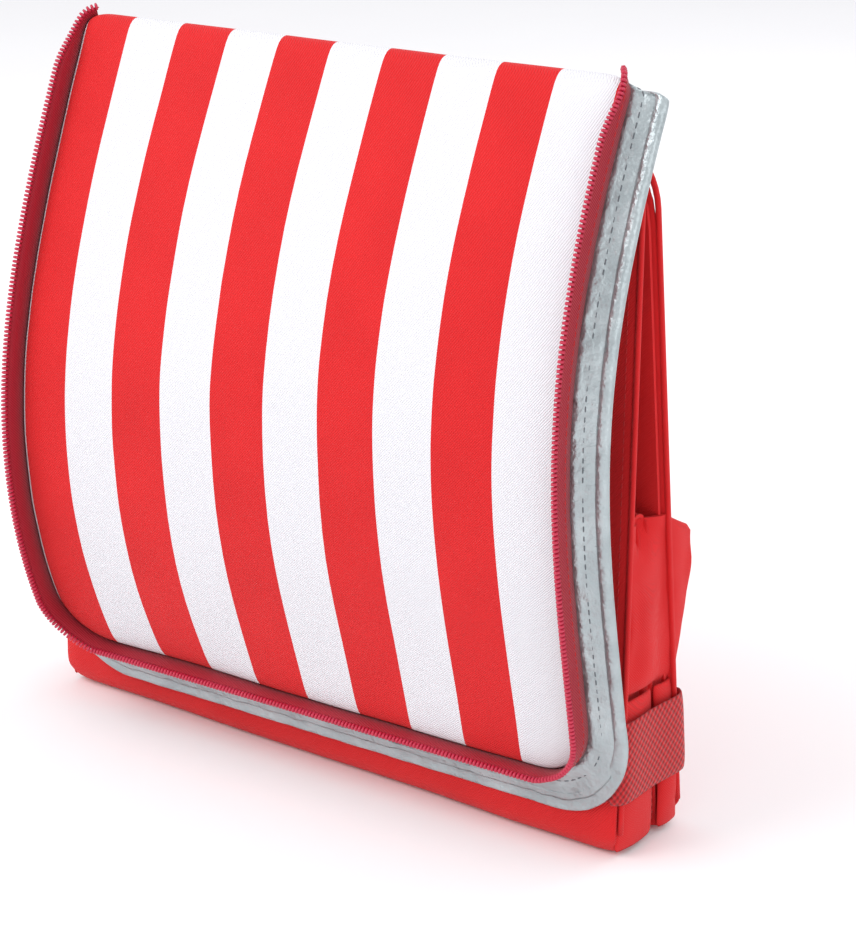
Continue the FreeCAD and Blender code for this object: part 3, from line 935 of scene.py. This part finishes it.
@dataclass
class LidShape:
    """The lid's arched, slightly skewed surface over a rounded rectangle, in millimetres."""
    half_width: float = 148.0
    shift: float = 9.5             # the panel sits slightly off the middle
    height: float = 292.0
    roll_start: float = 281.0      # pattern height where the top begins to roll back
    roll_radius: float = 7.5
    corner: float = 25.0
    top_corner: float = 15.0
    foot_z: float = 39.0           # each skew is what the right edge adds and the left edge loses
    foot_skew: float = 1.0
    top_z: float = 331.5
    foot_y: float = -42.5
    foot_y_skew: float = 3.0
    top_y: float = -22.5
    bulge: float = 34.0
    bulge_skew: float = 4.0
    bulge_drift: float = 0.18      # how far the arch's highest line drifts up towards the right
    crown: float = 4.0
    foot_flare: float = 0.7        # share by which the margin widens at the foot
    right_flare: float = 0.22
    foot_settle: float = 0.3       # share by which the zip lies down at the foot
    margin_settle: float = 0.4
    margin_depth: float = 6.5      # what lies deeper behind the face is the margin
    top_settle: float = 0.75
    zip_reach: float = 0.8         # the zip ends where the edge has turned this far into the top

    def surface(self, x: float, h: float) -> Vector:
        """Point of the outer face over a place in the flat pattern.

        Args:
            x: Distance from the pattern's middle line.
            h: Height in the pattern.

        Returns:
            The point, in millimetres.
        """
        if h > self.roll_start:
            edge = self.surface(x, self.roll_start)
            upward = (edge - self.surface(x, self.roll_start - 1)).normalized()
            outward_face = Vector((1, 0, 0)).cross(upward)
            turn = (h - self.roll_start) / self.roll_radius
            return (edge + upward * self.roll_radius * math.sin(turn)
                    - outward_face * self.roll_radius * (1 - math.cos(turn)))
        s = x / self.half_width
        v = h / self.roll_start
        reach = max(v, 0.0)
        arch = math.sin(math.pi * reach ** (1.0 + self.bulge_drift * s)) + (v - reach) * math.pi
        foot_z = self.foot_z + self.foot_skew * s
        foot_y = self.foot_y + self.foot_y_skew * s
        bulge = self.bulge - self.bulge_skew * s
        crown = self.crown * (1 - s * s) * math.sin(math.pi * reach)
        return Vector((x + self.shift, foot_y + (self.top_y - foot_y) * v - bulge * arch - crown,
                       foot_z + (self.top_z - foot_z) * v))

    def normal(self, x: float, h: float) -> Vector:
        """Outward direction of the outer face.

        Args:
            x: Distance from the pattern's middle line.
            h: Height in the pattern.

        Returns:
            A unit vector.
        """
        across = self.surface(x + 1, h) - self.surface(x - 1, h)
        up = self.surface(x, h + 1) - self.surface(x, h - 1)
        return across.cross(up).normalized()

    def place(self, x: float, h: float, out: float) -> Vector:
        """Point at a distance off the outer face."""
        return self.surface(x, h) + self.normal(x, h) * out

    def zip_run(self, step: float) -> list[Sample]:
        """Edge of the pattern along the zip: from its right end round the foot to its left end.

        Args:
            step: Distance from sample to sample.

        Returns:
            The samples.
        """
        w, c, r, top = self.half_width, self.corner, self.top_corner, self.height
        return [*round_corner(w - r, top - r, r, 90, step), *straight((w, top - r), (w, c), (1, 0), step),
                *round_corner(w - c, c, c, 0, step), *straight((w - c, 0), (c - w, 0), (0, -1), step),
                *round_corner(c - w, c, c, -90, step), *straight((-w, c), (-w, top - r), (-1, 0), step),
                *round_corner(r - w, top - r, r, 180, step), (r - w, top, 0, 1)]

    def outline(self, step: float) -> list[Sample]:
        """The whole edge of the pattern: the zip's run, then back along the top."""
        end = self.half_width - self.top_corner
        return self.zip_run(step)[:-1] + straight((-end, self.height), (end, self.height), (0, 1), step)

    def growth(self, grow: float, nx: float, h: float, nh: float) -> float:
        """Growth that is left at an edge sample.

        Args:
            grow: Growth on the left edge.
            nx: Sideways part of the direction outwards.
            h: Pattern height.
            nh: Upward part of the direction outwards.

        Returns:
            None where the edge turns into the top; a wide margin shows more at the foot and on the right.
        """
        if grow <= 0:
            return grow
        wide = 1 + self.foot_flare * max(-nh, 0) + self.right_flare * max(nx, 0) if grow > 2 else 1
        return grow * wide * (1 - ease((nh - 0.5) / 0.45) if h > self.height / 2 else 1)

    def stand(self, out: float, h: float, nh: float) -> float:
        """Distance off the face: the zip lies down near the lid's top, and zip and margin both at its foot.

        Args:
            out: Distance on the left edge.
            h: Pattern height.
            nh: Upward part of the direction outwards.

        Returns:
            The distance that is left.
        """
        downwards = max(-nh, 0)
        if out > 2:
            near_top = ease((h - self.roll_start + 22) / 26)
            return out * (1 - self.top_settle * near_top) * (1 - self.foot_settle * downwards)
        return out * (1 - self.margin_settle * downwards) if out < -self.margin_depth else out

    def at_edge(self, sample: Sample, grow: float, out: float, beyond: float = 0.0) -> Vector:
        """Point near the lid's edge, with its flare and its lie.

        Args:
            sample: Place on the edge.
            grow: Growth beyond the edge on the left.
            out: Distance off the face on the left.
            beyond: Further growth, the same all round.

        Returns:
            The point.
        """
        x, h, nx, nh = sample
        kept = self.growth(grow, nx, h, nh) + beyond
        return self.place(x + nx * kept, h + nh * kept, self.stand(out, h, nh))

    def edge_loops(self, section: Sequence[tuple[float, float]], step: float,
                   reach: float = 1.0) -> list[list[Vector]]:
        """Closed sections along the zip's run.

        Args:
            section: Points as growth beyond the edge and distance off the face.
            step: Distance from section to section.
            reach: How far the run turns into the top: the largest upward part of its direction outwards.

        Returns:
            The placed sections.
        """
        return [[self.at_edge(sample, grow, out) for grow, out in section]
                for sample in self.zip_run(step) if sample[3] <= reach]

    def edge_rail(self, grow: float, out: float, facing: Facing, step: float = 4.0) -> Rail:
        """A rail along the zip, with the direction that its items face.

        Args:
            grow: Growth beyond the edge.
            out: Distance off the face.
            facing: Where the items turn their tops.
            step: Distance from point to point.

        Returns:
            Points and directions.
        """
        rail = []
        for sample in self.zip_run(step):
            if sample[3] > self.zip_reach:
                continue
            here = self.at_edge(sample, grow, out)
            if facing is Facing.OFF_THE_FACE:
                rail.append((here, self.normal(*sample[:2])))
            else:
                rail.append((here, (self.at_edge(sample, grow, out, 1.0) - here).normalized()))
        return rail


@dataclass
class Lid:
    """The striped lid: padded panel, foil lining with its piped edge, zip tape and coil."""
    finishes: Finishes
    shape: LidShape = field(default_factory=LidShape)
    thickness: float = 5.0
    flare: float = 9.2
    flare_drop: float = 7.6
    piping_radius: float = 2.7
    tape_stand: float = 8.4
    tape_thick: float = 1.1
    tape_grow: float = 0.7
    coil_spacing: float = 1.9
    fill: float = 0.7

    def pad(self, name: str, rings: Sequence[tuple[float, float]], back: float, material: bpy.types.Material,
            step: float = 5.0) -> bpy.types.Object:
        """A closed pad from rings that run from the rear middle round the edge to the front middle.

        Args:
            name: Name of the piece.
            rings: Growth and distance off the face of each ring, from the rear inwards edge to the front.
            back: Distance off the face of the rear middle.
            material: Its finish.
            step: Distance between the samples of a ring.

        Returns:
            The closed pad.
        """
        samples = self.shape.outline(step)
        middle = self.shape.height / 2

        def inner(share: float, out: float) -> list[Vector]:
            """Ring inside the edge, at a share of its size."""
            return [self.shape.place(x * share, middle + (h - middle) * share, out) for x, h, _, _ in samples]

        shares = (0.04, 0.2, 0.38, 0.54, 0.68, 0.8, 0.9)
        loops = [inner(share, back) for share in shares]
        loops += [[self.shape.at_edge(sample, grow, out) for sample in samples] for grow, out in rings]
        loops += [inner(share, rings[-1][1]) for share in reversed(shares)]
        return sweep(name, loops, material)

    def panel(self) -> None:
        """Striped padded panel."""
        t = self.thickness
        rings = [(-9, -t), (-4, -t * 0.9), (-0.9, -t * 0.7), (0, -t * 0.45), (-0.5, -1.4), (-2, -0.7),
                 (-5, -0.2), (-9, 0)]
        made = self.pad("lid_striped_panel", rings, -t, self.finishes.striped)
        rumpled(made, (1, 60, 1.1, (0, 0, 0)), (1, 22, 0.35, (0, 0, 0)))
        smoothed(made)
        on_body(made, "lid", "striped_twill", "lid_outer_panel", "lid_foam")

    def lining(self) -> None:
        """Foil lining behind the panel, flared out past the zip."""
        inside = -self.thickness - 0.3
        edge = -self.flare_drop
        rings = [(-6, inside - 0.5), (0, inside - 0.6), (self.flare, edge - 0.5), (self.flare + 0.6, edge),
                 (self.flare, edge + 0.5), (self.flare * 0.6, edge + 2.0), (self.flare * 0.3, inside + 1.4),
                 (1.2, -2.6), (0.9, -3.2), (-0.4, inside), (-6, inside)]
        made = self.pad("lid_foil_lining_sheet", rings, inside - 0.5, self.finishes.foil, 3.0)
        rumpled(made, (2, 6, 0.7, (0, 0, 0)), (1, 8, 0.5, (9, 3, 1)))
        on_body(made, "lid", "foil", "lid_foil_lining")

    def piping(self) -> None:
        """Rounded foil piping along the flared edge."""
        section = tube_section((self.flare + 1.2, -self.flare_drop - 0.8), self.piping_radius, 10)
        made = sweep("lid_foil_piping_roll", self.shape.edge_loops(section, 3.0), self.finishes.foil)
        rumpled(made, (2, 5, 0.35, (0, 0, 0)))
        smoothed(made)
        on_body(made, "lid", "foil", "lid_foil_piping")

    def zip_half(self) -> None:
        """Zip tape standing off the panel's edge, with its coil."""
        half, middle, stand = self.tape_thick / 2, self.tape_grow, self.tape_stand
        section = [(middle - half, -3.4), (middle + half, -3.4), (middle + half * 1.3, 3), (middle + half, 8),
                   (middle + half, stand), (middle - half, stand), (middle - half * 0.7, 4)]
        loops = self.shape.edge_loops(section, 4.0, self.shape.zip_reach)
        tape = sweep("lid_zip_tape_strip", loops, self.finishes.tape)
        on_body(tape, "lid", "zip_tape", "lid_zip_tape")
        teeth = Repeats("coil_loop", length=1.35, width=3.0, height=3.8, spacing=self.coil_spacing,
                        material=self.finishes.coil)
        rail = self.shape.edge_rail(middle, stand + 0.9, Facing.OFF_THE_FACE)
        on_body(teeth.along("lid_zip_coil_loops", [rail]), "lid", "zip_coil", "lid_zip_coil")

    def stitching(self) -> None:
        """Stitch lines across the foil margin, and on the tape."""
        stitch = Repeats("foil_stitch", length=2.6, width=0.8, height=0.7, spacing=4.2,
                         material=self.finishes.grey_thread)
        rail = self.shape.edge_rail(self.flare / 2, -5.2, Facing.OFF_THE_FACE)
        on_body(stitch.along("lid_margin_stitches", [rail]), "lid", "foil")
        stitch = Repeats("tape_stitch", length=2.4, width=0.6, height=0.6, spacing=3.6,
                         material=self.finishes.thread)
        rail = self.shape.edge_rail(self.tape_grow + self.tape_thick / 2 + 0.15, 1.6, Facing.PAST_THE_EDGE)
        on_body(stitch.along("lid_tape_stitches", [rail]), "lid", "zip_tape")

    def build(self) -> None:
        """Make every piece of the lid."""
        for step in (self.panel, self.lining, self.piping, self.zip_half, self.stitching):
            step()
            log.info("lid: %s", step.__name__)


# ---------------------------------------------------------------- hinge fabric

@dataclass
class Hinge:
    """Bunched cloth between the walls' pinched rims and the lid's upper edge."""
    section: Section
    finishes: Finishes
    half_width: float = 128.0
    thickness: float = 2.2

    def build(self) -> None:
        """Make the hinge fabric."""
        rim = self.section.rim
        face = self.section.front(rim)
        line = catmull([(face - 1.2, rim + 3), (face - 1.6, rim + 8), (face + 1.0, rim + 12.5),
                        (-11.5, rim + 17), (-9.0, rim + 22), (-10.5, rim + 26), (-14.5, rim + 25)], 4)
        rows = []
        for y, z in line:
            row = []
            for step in range(33):
                x = (step / 16 - 1) * self.half_width
                point = Vector((x, y, z))
                point.y += crumple(point, 16, 0.9)
                point.z += crumple(point + Vector((5, 5, 5)), 20, 0.8)
                row.append(point)
            rows.append(row)
        made = laminate("lid_hinge_cloth", rows, self.thickness, self.finishes.red)
        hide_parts("lid_hinge_fold")
        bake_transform(made)


# ---------------------------------------------------------------- sides

@dataclass
class Sides:
    """Gussets folded inwards, the corner pillows in front of them, and the lobes' end faces."""
    section: Section
    finishes: Finishes
    wall: float = 3.8
    cloth: float = 1.6
    strips: int = 10
    rows_each: int = 3
    crease_x: float = 16.0
    gusset_inset: float = 2.5
    off_wall: float = 1.1
    gusset_low: float = 8.0
    gusset_top: float = 303.0
    corner: float = 26.0
    pillow_low: float = 50.0
    pillow_high: float = 149.0
    pillow_strips: int = 4
    pillow_rows_each: int = 8
    slit_height: float = 73.0
    ear_reach: float = 14.0
    lobe_height: float = 70.0
    lobe_offset: float = 6.0
    lobe_bow: float = 3.0

    def inner(self, height: float) -> tuple[float, float]:
        """Y of the two walls' inner faces at a height."""
        return self.section.front(height) + self.wall, self.section.rear(height) - self.wall

    def gusset_grid(self, side: Side) -> Grid:
        """Middle of a gusset: in along the front wall, round the crease and out along the rear wall.

        Args:
            side: Which side of the bag.

        Returns:
            The grid, lowest row first.
        """
        rows = []
        shares = (0, 0.12, 0.3, 0.5, 0.7, 0.88, 0.97, 1.0, 1.03, 1.12, 1.3, 1.5, 1.7, 1.88, 2.0)
        corner = self.corner
        count = self.strips * self.rows_each
        for step in range(count + 1):
            z = self.gusset_low + (self.gusset_top - self.gusset_low) * step / count
            front, rear = self.inner(z)
            above = max(z - (self.gusset_top - corner), 0)
            edge = self.section.half_width - self.gusset_inset - corner
            edge += math.sqrt(max(corner ** 2 - above ** 2, 0))
            fold = min(self.crease_x + max(self.section.crease - z, 0) * 0.9, edge - 12)
            spread = (rear - front) / 2 - self.off_wall
            row = []
            for share in shares:
                turn = min(share, 2 - share)
                close = self.off_wall + spread * ease((turn - 0.75) / 0.25)
                y = front + close if share <= 1 else rear - close
                row.append(Vector((side.value * (edge + (fold - edge) * turn), y, z)))
            rows.append(row)
        return rows

    def pillow_grid(self, side: Side) -> Grid:
        """Middle of the bulging corner cloth between the walls, with its ear behind the rear wall.

        Args:
            side: Which side of the bag.

        Returns:
            The grid, lowest row first.
        """
        rows = []
        span = self.pillow_high - self.pillow_low
        count = self.pillow_strips * self.pillow_rows_each
        for step in range(count + 1):
            z = self.pillow_low + span * step / count
            front, rear = self.inner(z)
            rear_face = self.section.rear(z)
            above_slit = ease((z - self.slit_height) / 3)
            full = above_slit * math.sin(math.pi * min((z - self.slit_height) / 96 + 0.25, 1.0))
            close = ease((z - self.pillow_high + 16) / 16)
            ear = self.ear_reach * ease((z - 70) / 55) * (1 - ease((z - 137) / 10))
            outer = self.section.half_width - 2.4
            tuck = 3.2 * (1 - above_slit)
            line = [(outer - 9, front + 1.0), (outer - 1.0 - tuck * 0.4, front + 0.2),
                    (outer + 0.8 * full - tuck, front + 5),
                    (outer - 1.0 + 3.4 * full - 6 * close - tuck, (front + rear) / 2 - 2),
                    (outer - 0.2 - tuck * 0.6, rear - 1.0),
                    (outer - 0.4 + ear * 0.15, rear_face + 1.0 + ear * 0.6),
                    (outer - 1.5 + ear * 0.25, rear_face + 1.2 + ear),
                    (outer - 9.0, rear_face + 1.0 + ear * 0.4)]
            row = []
            for x, y in catmull(line, 4):
                point = Vector((side.value * x, y, z))
                fold = crumple(Vector((x + 3, y * 2.2 + 8, z * 0.7 + side.value * 40)), 26, 2.4)
                point.x += side.value * min(fold + crumple(point, 11, 0.7), 2.2)
                row.append(point)
            rows.append(row)
        return rows

    def strips_of(self, name: str, grid: Grid, count: int) -> list[bpy.types.Object]:
        """Cut a layer that crosses both halves into level strips.

        Args:
            name: Start of the strips' names.
            grid: The whole layer.
            count: Number of strips.

        Returns:
            The strips, lowest first.
        """
        each = (len(grid) - 1) // count
        strips = []
        for index in range(count):
            first, last = index * each, (index + 1) * each
            made = laminate(f"{name}_{index + 1:02d}", grid, self.cloth, self.finishes.red, 1.0, False,
                            (first, last))
            between_halves(made, "red_twill", *self.inner((grid[first][0].z + grid[last][0].z) / 2))
            strips.append(made)
        return strips

    def floor_crease(self) -> None:
        """Cloth over the floor's middle crease, between the two floor halves."""
        z = self.section.crease
        middle = self.section.middle(z)
        reach = self.section.half_width - 6
        rows = []
        for step in range(9):
            turn = math.pi * step / 8
            y, rise = middle - 3.4 * math.cos(turn), 2.2 * math.sin(turn)
            rows.append([Vector((reach * (index / 12 - 1), y, z - 1.5 + rise)) for index in range(25)])
        made = laminate("floor_crease_cloth", rows, self.cloth, self.finishes.red, 1.0, False)
        between_halves(made, "red_twill", middle - 3, middle + 3)

    def lobe_end(self, side: Side, wall: Wall) -> None:
        """End face of the lobe under a wall: the cloth that closes the floor's fold.

        Args:
            side: Which side of the bag.
            wall: Which wall.
        """
        rows = []
        for step in range(9):
            z = 2.2 + self.lobe_height * step / 8
            start = self.section.face(wall, z) + wall.value * 0.6
            end = (self.lobe_offset - wall.value * 2.2) * (1 - 0.7 * ease((z - 25) / 47))
            fullness = self.lobe_bow * (0.5 + 0.5 * math.sin(math.pi * min(step / 6, 1)))
            row = []
            for across in range(9):
                share = across / 8
                x = self.section.half_width - 2.6 + math.sin(math.pi * share) ** 0.7 * fullness
                point = Vector((side.value * x, start + (end - start) * share, z))
                point.x += side.value * crumple(point, 13, 1.2)
                row.append(point)
            rows.append(row)
        made = laminate(f"{wall.word}_lobe_end_{side.word}", rows, self.cloth, self.finishes.red, 0.6)
        on_body(made, wall.body, "red_twill")

    def build(self) -> None:
        """Make both sides."""
        self.floor_crease()
        for side in Side:
            gussets = self.strips_of(f"gusset_{side.word}", self.gusset_grid(side), self.strips)
            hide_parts(f"front_gusset_{side.word}", f"rear_gusset_{side.word}")
            pillows = self.strips_of(f"corner_pillow_{side.word}", self.pillow_grid(side), self.pillow_strips)
            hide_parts(f"front_facet_{side.word}", f"rear_facet_{side.word}")
            for wall in Wall:
                self.lobe_end(side, wall)
            log.info("side %s: %d gusset strips, %d pillow strips", side.word, len(gussets), len(pillows))


# ---------------------------------------------------------------- webbing

@dataclass
class Band:
    """The closing band round the folded bag, and the short webbing on each side."""
    section: Section
    finishes: Finishes
    low: float = 27.0
    width: float = 38.0
    thickness: float = 1.8
    stand_off: float = 3.2         # clears the fold's bulge
    corner_off: float = 4.0
    strap_width: float = 36.0
    strap_low: float = 6.0
    strap_length: float = 56.0
    rows: int = 7

    def strip(self, name: str, across: Callable[[float], list[tuple[float, float]]]) -> bpy.types.Object:
        """A run of webbing.

        Args:
            name: Name of the piece.
            across: Gives the run's line in X and Y at a height.

        Returns:
            The closed strip.
        """
        grid = []
        for step in range(self.rows):
            z = self.low + self.width * step / (self.rows - 1)
            grid.append([Vector((x, y, z)) for x, y in across(z)])
        return laminate(name, grid, self.thickness, self.finishes.webbing, 0.5)

    def run(self, wall: Wall) -> None:
        """The band's run along a wall.

        Args:
            wall: Which wall.
        """
        reach = self.section.half_width - 2
        off = self.stand_off + self.thickness / 2

        def line(z: float) -> list[tuple[float, float]]:
            """Line of the run at a height."""
            y = self.section.face(wall, z) - wall.value * off
            return [(reach * (step / 20 - 1), y) for step in range(41)]

        made = self.strip(f"band_{wall.word}_webbing", line)
        on_body(made, wall.body, "webbing", f"band_{wall.word}_run")

    def side_run(self, side: Side) -> None:
        """The band's run across a side.

        Args:
            side: Which side of the bag.
        """
        half = self.section.half_width

        def line(z: float) -> list[tuple[float, float]]:
            """Line of the run at a height, wrapped round both corners.

            Args:
                z: The height.

            Returns:
                X and Y of each point.
            """
            front = self.section.front(z) - self.corner_off
            rear = self.section.rear(z) + self.corner_off
            turn = [(-3, 0), (-0.5, 0.4), (1.9, 3.5), (2.6, 9)]
            flat = [(half + out, front + in_by) for out, in_by in turn]
            flat.append((half + 1.6, (front + rear) / 2))
            flat += [(half + out, rear - in_by) for out, in_by in reversed(turn)]
            return [(side.value * x, y) for x, y in catmull(flat, 3)]

        made = self.strip(f"band_side_webbing_{side.word}", line)
        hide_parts(f"band_side_{side.word}")
        middle = self.low + self.width / 2
        between_halves(made, "webbing", self.section.front(middle), self.section.rear(middle))

    def upright(self, side: Side) -> None:
        """Short webbing that runs down between the lobes.

        Args:
            side: Which side of the bag.
        """
        rows = []
        outer = self.section.half_width - 2
        high = self.strap_low + self.strap_length
        for step in range(9):
            z = self.strap_low + self.strap_length * step / 8
            y = 6.0 - 5.9 * z / high
            rows.append([Vector((side.value * (outer - self.strap_width * across / 6), y, z))
                         for across in range(7)])
        made = laminate(f"side_webbing_strap_{side.word}", rows, 1.6, self.finishes.webbing, 0.6)
        on_body(made, Wall.FRONT.body, "webbing", f"side_webbing_{side.word}")

    def build(self) -> None:
        """Make every run of webbing."""
        for wall in Wall:
            self.run(wall)
        for side in Side:
            self.side_run(side)
            self.upright(side)
        log.info("band: four runs, two side straps")


# ---------------------------------------------------------------- seams and the body's zip

@dataclass
class Seams:
    """Bound edges of the walls with their stitching."""
    section: Section
    finishes: Finishes
    radius: float = 1.3
    foot: float = 12.0
    stitch_inset: float = 4.5

    def edge(self, wall: Wall, inset: float, out: float) -> list[Vector]:
        """Line round a wall's edge.

        Args:
            wall: Which wall.
            inset: Distance inside the edge.
            out: Distance off the wall's outer face.

        Returns:
            Points from the right foot, over the top, to the left foot.
        """
        top, corner, half = self.section.top, self.section.corner, self.section.half_width
        flat = [(half - inset, self.foot + (top - corner - self.foot) * step / 30) for step in range(31)]
        for step in range(1, 13):
            turn = math.pi / 2 * step / 12
            flat.append((half - corner + (corner - inset) * math.cos(turn),
                         top - corner + (corner - inset) * math.sin(turn)))
        flat += [((half - corner) * (1 - step / 20), top - inset) for step in range(1, 21)]
        flat += [(-x, z) for x, z in reversed(flat[:-1])]
        return [Vector((x, self.section.face(wall, z) - wall.value * out, z)) for x, z in flat]

    def build(self) -> None:
        """Make the bindings and their stitches."""
        stitch = Repeats("seam_stitch", length=2.6, width=0.6, height=0.6, spacing=3.8,
                         material=self.finishes.thread)
        for wall in Wall:
            path = self.edge(wall, 0.4, -1.4)
            bound = tube(f"{wall.word}_wall_binding", path, self.radius, self.finishes.red)
            on_body(bound, wall.body, "red_twill")
            out = Vector((0, -wall.value, 0))
            rail = [(point, out) for point in self.edge(wall, self.stitch_inset, 0.5)]
            on_body(stitch.along(f"{wall.word}_wall_stitches", [rail]), wall.body, "red_twill")
        log.info("seams: two bindings")


@dataclass
class RearZip:
    """Zip sliders parked high on the rear wall, their pulls, and the coil beside them."""
    section: Section
    finishes: Finishes
    place: float = 100.0
    up: float = 278.0
    wide: float = 9.0
    long: float = 13.0
    thick: float = 4.6
    seat: float = 1.8
    pull_wide: float = 6.5
    pull_long: float = 34.0
    pull_thick: float = 1.6
    pull_top: float = 5.0

    @property
    def lean(self) -> float:
        """Lean of the rear wall's face, in radians."""
        return math.atan(self.section.rear_lean / self.section.rim)

    def on_rear(self, x: float, up: float, out: float) -> Vector:
        """Point at a distance up the rear wall and off its face."""
        lean = self.lean
        return Vector((x, self.section.foot - up * math.sin(lean) + out * math.cos(lean),
                       up * math.cos(lean) + out * math.sin(lean)))

    def block(self, name: str, x: tuple[float, float], up: tuple[float, float], out: tuple[float, float],
              bevel: float) -> bpy.types.Object:
        """A rounded zinc block on the rear wall.

        Args:
            name: Name of the piece.
            x: Its two ends across.
            up: Its two ends up the wall.
            out: Its two ends off the wall.
            bevel: Radius of its edges.

        Returns:
            The block.
        """
        flat = ((x[0], out[0]), (x[1], out[0]), (x[1], out[1]), (x[0], out[1]))
        corners = [self.on_rear(across, height, off) for height in up for across, off in flat]
        return rounded_block(name, corners, bevel, self.finishes.zinc)

    def slider(self, side: Side) -> None:
        """One slider: two plates, the post between them and the bridge over the top plate.

        Args:
            side: Which side of the bag.
        """
        x, half, up, seat = side.value * self.place, self.wide / 2, self.up, self.seat
        across, along = (x - half, x + half), (up, up + self.long)
        parts = [("base", across, along, (seat - 0.9, seat + 0.4), 0.5, (f"zip_slider_{side.word}",)),
                 ("top", across, along, (seat + 1.9, seat + 3.1), 0.5, ()),
                 ("post", (x - 1.4, x + 1.4), (up + 8.5, up + 12.0), (seat + 0.2, seat + 2.2), 0.3, ()),
                 ("bridge", (x - 1.5, x + 1.5), (up + 2.0, up + 10.5), (seat + 2.9, seat + 4.4), 0.6, ())]
        for word, *sizes, nodes in parts:
            on_body(self.block(f"slider_{word}_{side.word}", *sizes), Wall.REAR.body, "painted_zinc", *nodes)

    def pull(self, side: Side) -> None:
        """One pull: a long plate with a raised ridge, and an eye at its top.

        Args:
            side: Which side of the bag.
        """
        x = side.value * self.place
        top = self.up + self.pull_top
        out = self.seat + self.thick
        half = self.pull_wide / 2
        plate = self.block(f"pull_plate_{side.word}", (x - half, x + half), (top - self.pull_long, top - 6.0),
                           (out, out + self.pull_thick), 0.7)
        ridge = self.block(f"pull_ridge_{side.word}", (x - half * 0.55, x + half * 0.55),
                           (top - self.pull_long + 3, top - 12.0),
                           (out + 1.2, out + self.pull_thick + 0.5), 0.4)
        ring = []
        for step in range(25):
            turn = 2 * math.pi * step / 24
            ring.append(self.on_rear(x + (half - 0.8) * math.sin(turn), top - 3.9 + 3.4 * math.cos(turn),
                                     out + self.pull_thick / 2))
        eye = tube(f"pull_eye_{side.word}", ring, 0.8, self.finishes.zinc)
        for made in (plate, ridge, eye):
            on_body(made, f"pull_{side.word}", "painted_zinc")
        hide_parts(f"slider_pull_{side.word}")

    def build(self) -> None:
        """Make both sliders, both pulls and the coils beside them."""
        teeth = Repeats("rear_coil_loop", length=1.3, width=4.2, height=1.5, spacing=1.9,
                        material=self.finishes.coil)
        out = Vector((0, math.cos(self.lean), math.sin(self.lean)))
        start, end = self.place + 6, self.section.half_width - self.section.corner - 1
        rails = []
        for side in Side:
            self.slider(side)
            self.pull(side)
            places = [side.value * (start + (end - start) * step / 8) for step in range(9)]
            rails.append([(self.on_rear(x, self.up + 5.5, 1.6), out) for x in places])
        on_body(teeth.along("rear_zip_coil_loops", rails), Wall.REAR.body, "zip_coil")
        log.info("rear zip: two sliders")


# ---------------------------------------------------------------- studio

@dataclass
class Studio:
    """Pale floor, soft lights and the camera."""
    finishes: Finishes
    camera_place: tuple[float, float, float] = (0.6972, -0.8526, 0.5001)
    azimuth: float = 37.5
    elevation: float = 18.2
    lens: float = 97.6

    def floor(self) -> None:
        """Large pale floor."""
        reach = 4000.0
        flat = ((-1, -1), (1, -1), (1, 1), (-1, 1))
        corners = [Vector((x * reach, y * reach, -0.1)) for x, y in flat]
        made = piece("studio_floor", corners, [(0, 1, 2, 3)], self.finishes.paper)

    def light(self, name: str, place: tuple[float, float, float], size: float, power: float) -> None:
        """Add a soft box aimed at the bag.

        Args:
            name: Name of the light.
            place: Where it stands, in metres.
            size: Side of the box.
            power: Power in watts.
        """
        data = bpy.data.lights.new(name, "AREA")
        data.size = size
        data.energy = power
        made = bpy.data.objects.new(name, data)
        made.location = place
        aim = Vector((0, 0, 0.15)) - Vector(place)
        made.rotation_euler = aim.to_track_quat("-Z", "Y").to_euler()
        bpy.context.scene.collection.objects.link(made)

    def camera(self) -> None:
        """Add the camera."""
        data = bpy.data.cameras.new("camera")
        data.lens = self.lens
        data.sensor_width = 36.0
        made = bpy.data.objects.new("camera", data)
        turn, tilt = math.radians(self.azimuth), math.radians(self.elevation)
        back = Vector((math.sin(turn) * math.cos(tilt), -math.cos(turn) * math.cos(tilt), math.sin(tilt)))
        turned = back.to_track_quat("Z", "Y").to_matrix().to_4x4()
        made.matrix_world = Matrix.Translation(self.camera_place) @ turned
        bpy.context.scene.collection.objects.link(made)
        bpy.context.scene.camera = made

    def build(self) -> None:
        """Set up the studio."""
        self.floor()
        self.light("key", (-0.9, -1.5, 1.7), size=1.6, power=26)
        self.light("fill", (1.9, -0.7, 0.9), size=1.6, power=9)
        self.light("back", (0.3, 1.6, 1.5), size=1.4, power=10)
        world = bpy.data.worlds.new("studio")
        world.use_nodes = True
        background = world.node_tree.nodes["Background"]
        background.inputs["Color"].default_value = linear("#F7F7FA")
        background.inputs["Strength"].default_value = 0.9
        bpy.context.scene.world = world
        bpy.context.scene.view_settings.view_transform = "Standard"
        self.camera()


def dress_cad_pieces(finishes: Finishes) -> None:
    """Give the CAD pieces that stay visible their finishes.

    Args:
        finishes: The bag's finishes.
    """
    worn = {"band_tri_glide": finishes.acetal, "front_zip_tape": finishes.tape,
            "rear_zip_tape": finishes.tape, "front_zip_coil": finishes.coil}
    for name, material in worn.items():
        made = bpy.data.objects[name]
        made.data.materials.clear()
        made.data.materials.append(material)
    log.info("cad pieces: %s", ", ".join(worn))


def main() -> None:
    """Build the bag piece by piece."""
    logging.basicConfig(level=logging.INFO, format="%(name)s %(message)s")
    finishes = Finishes()
    Studio(finishes).build()
    section = Section()
    walls = WallAndFloor(section, finishes)
    for wall in Wall:
        log.info("wall: %s", walls.make(wall).name)
    Lid(finishes).build()
    Hinge(section, finishes).build()
    Sides(section, finishes).build()
    Band(section, finishes).build()
    Seams(section, finishes).build()
    RearZip(section, finishes).build()
    dress_cad_pieces(finishes)


if __name__ == "__main__":
    main()
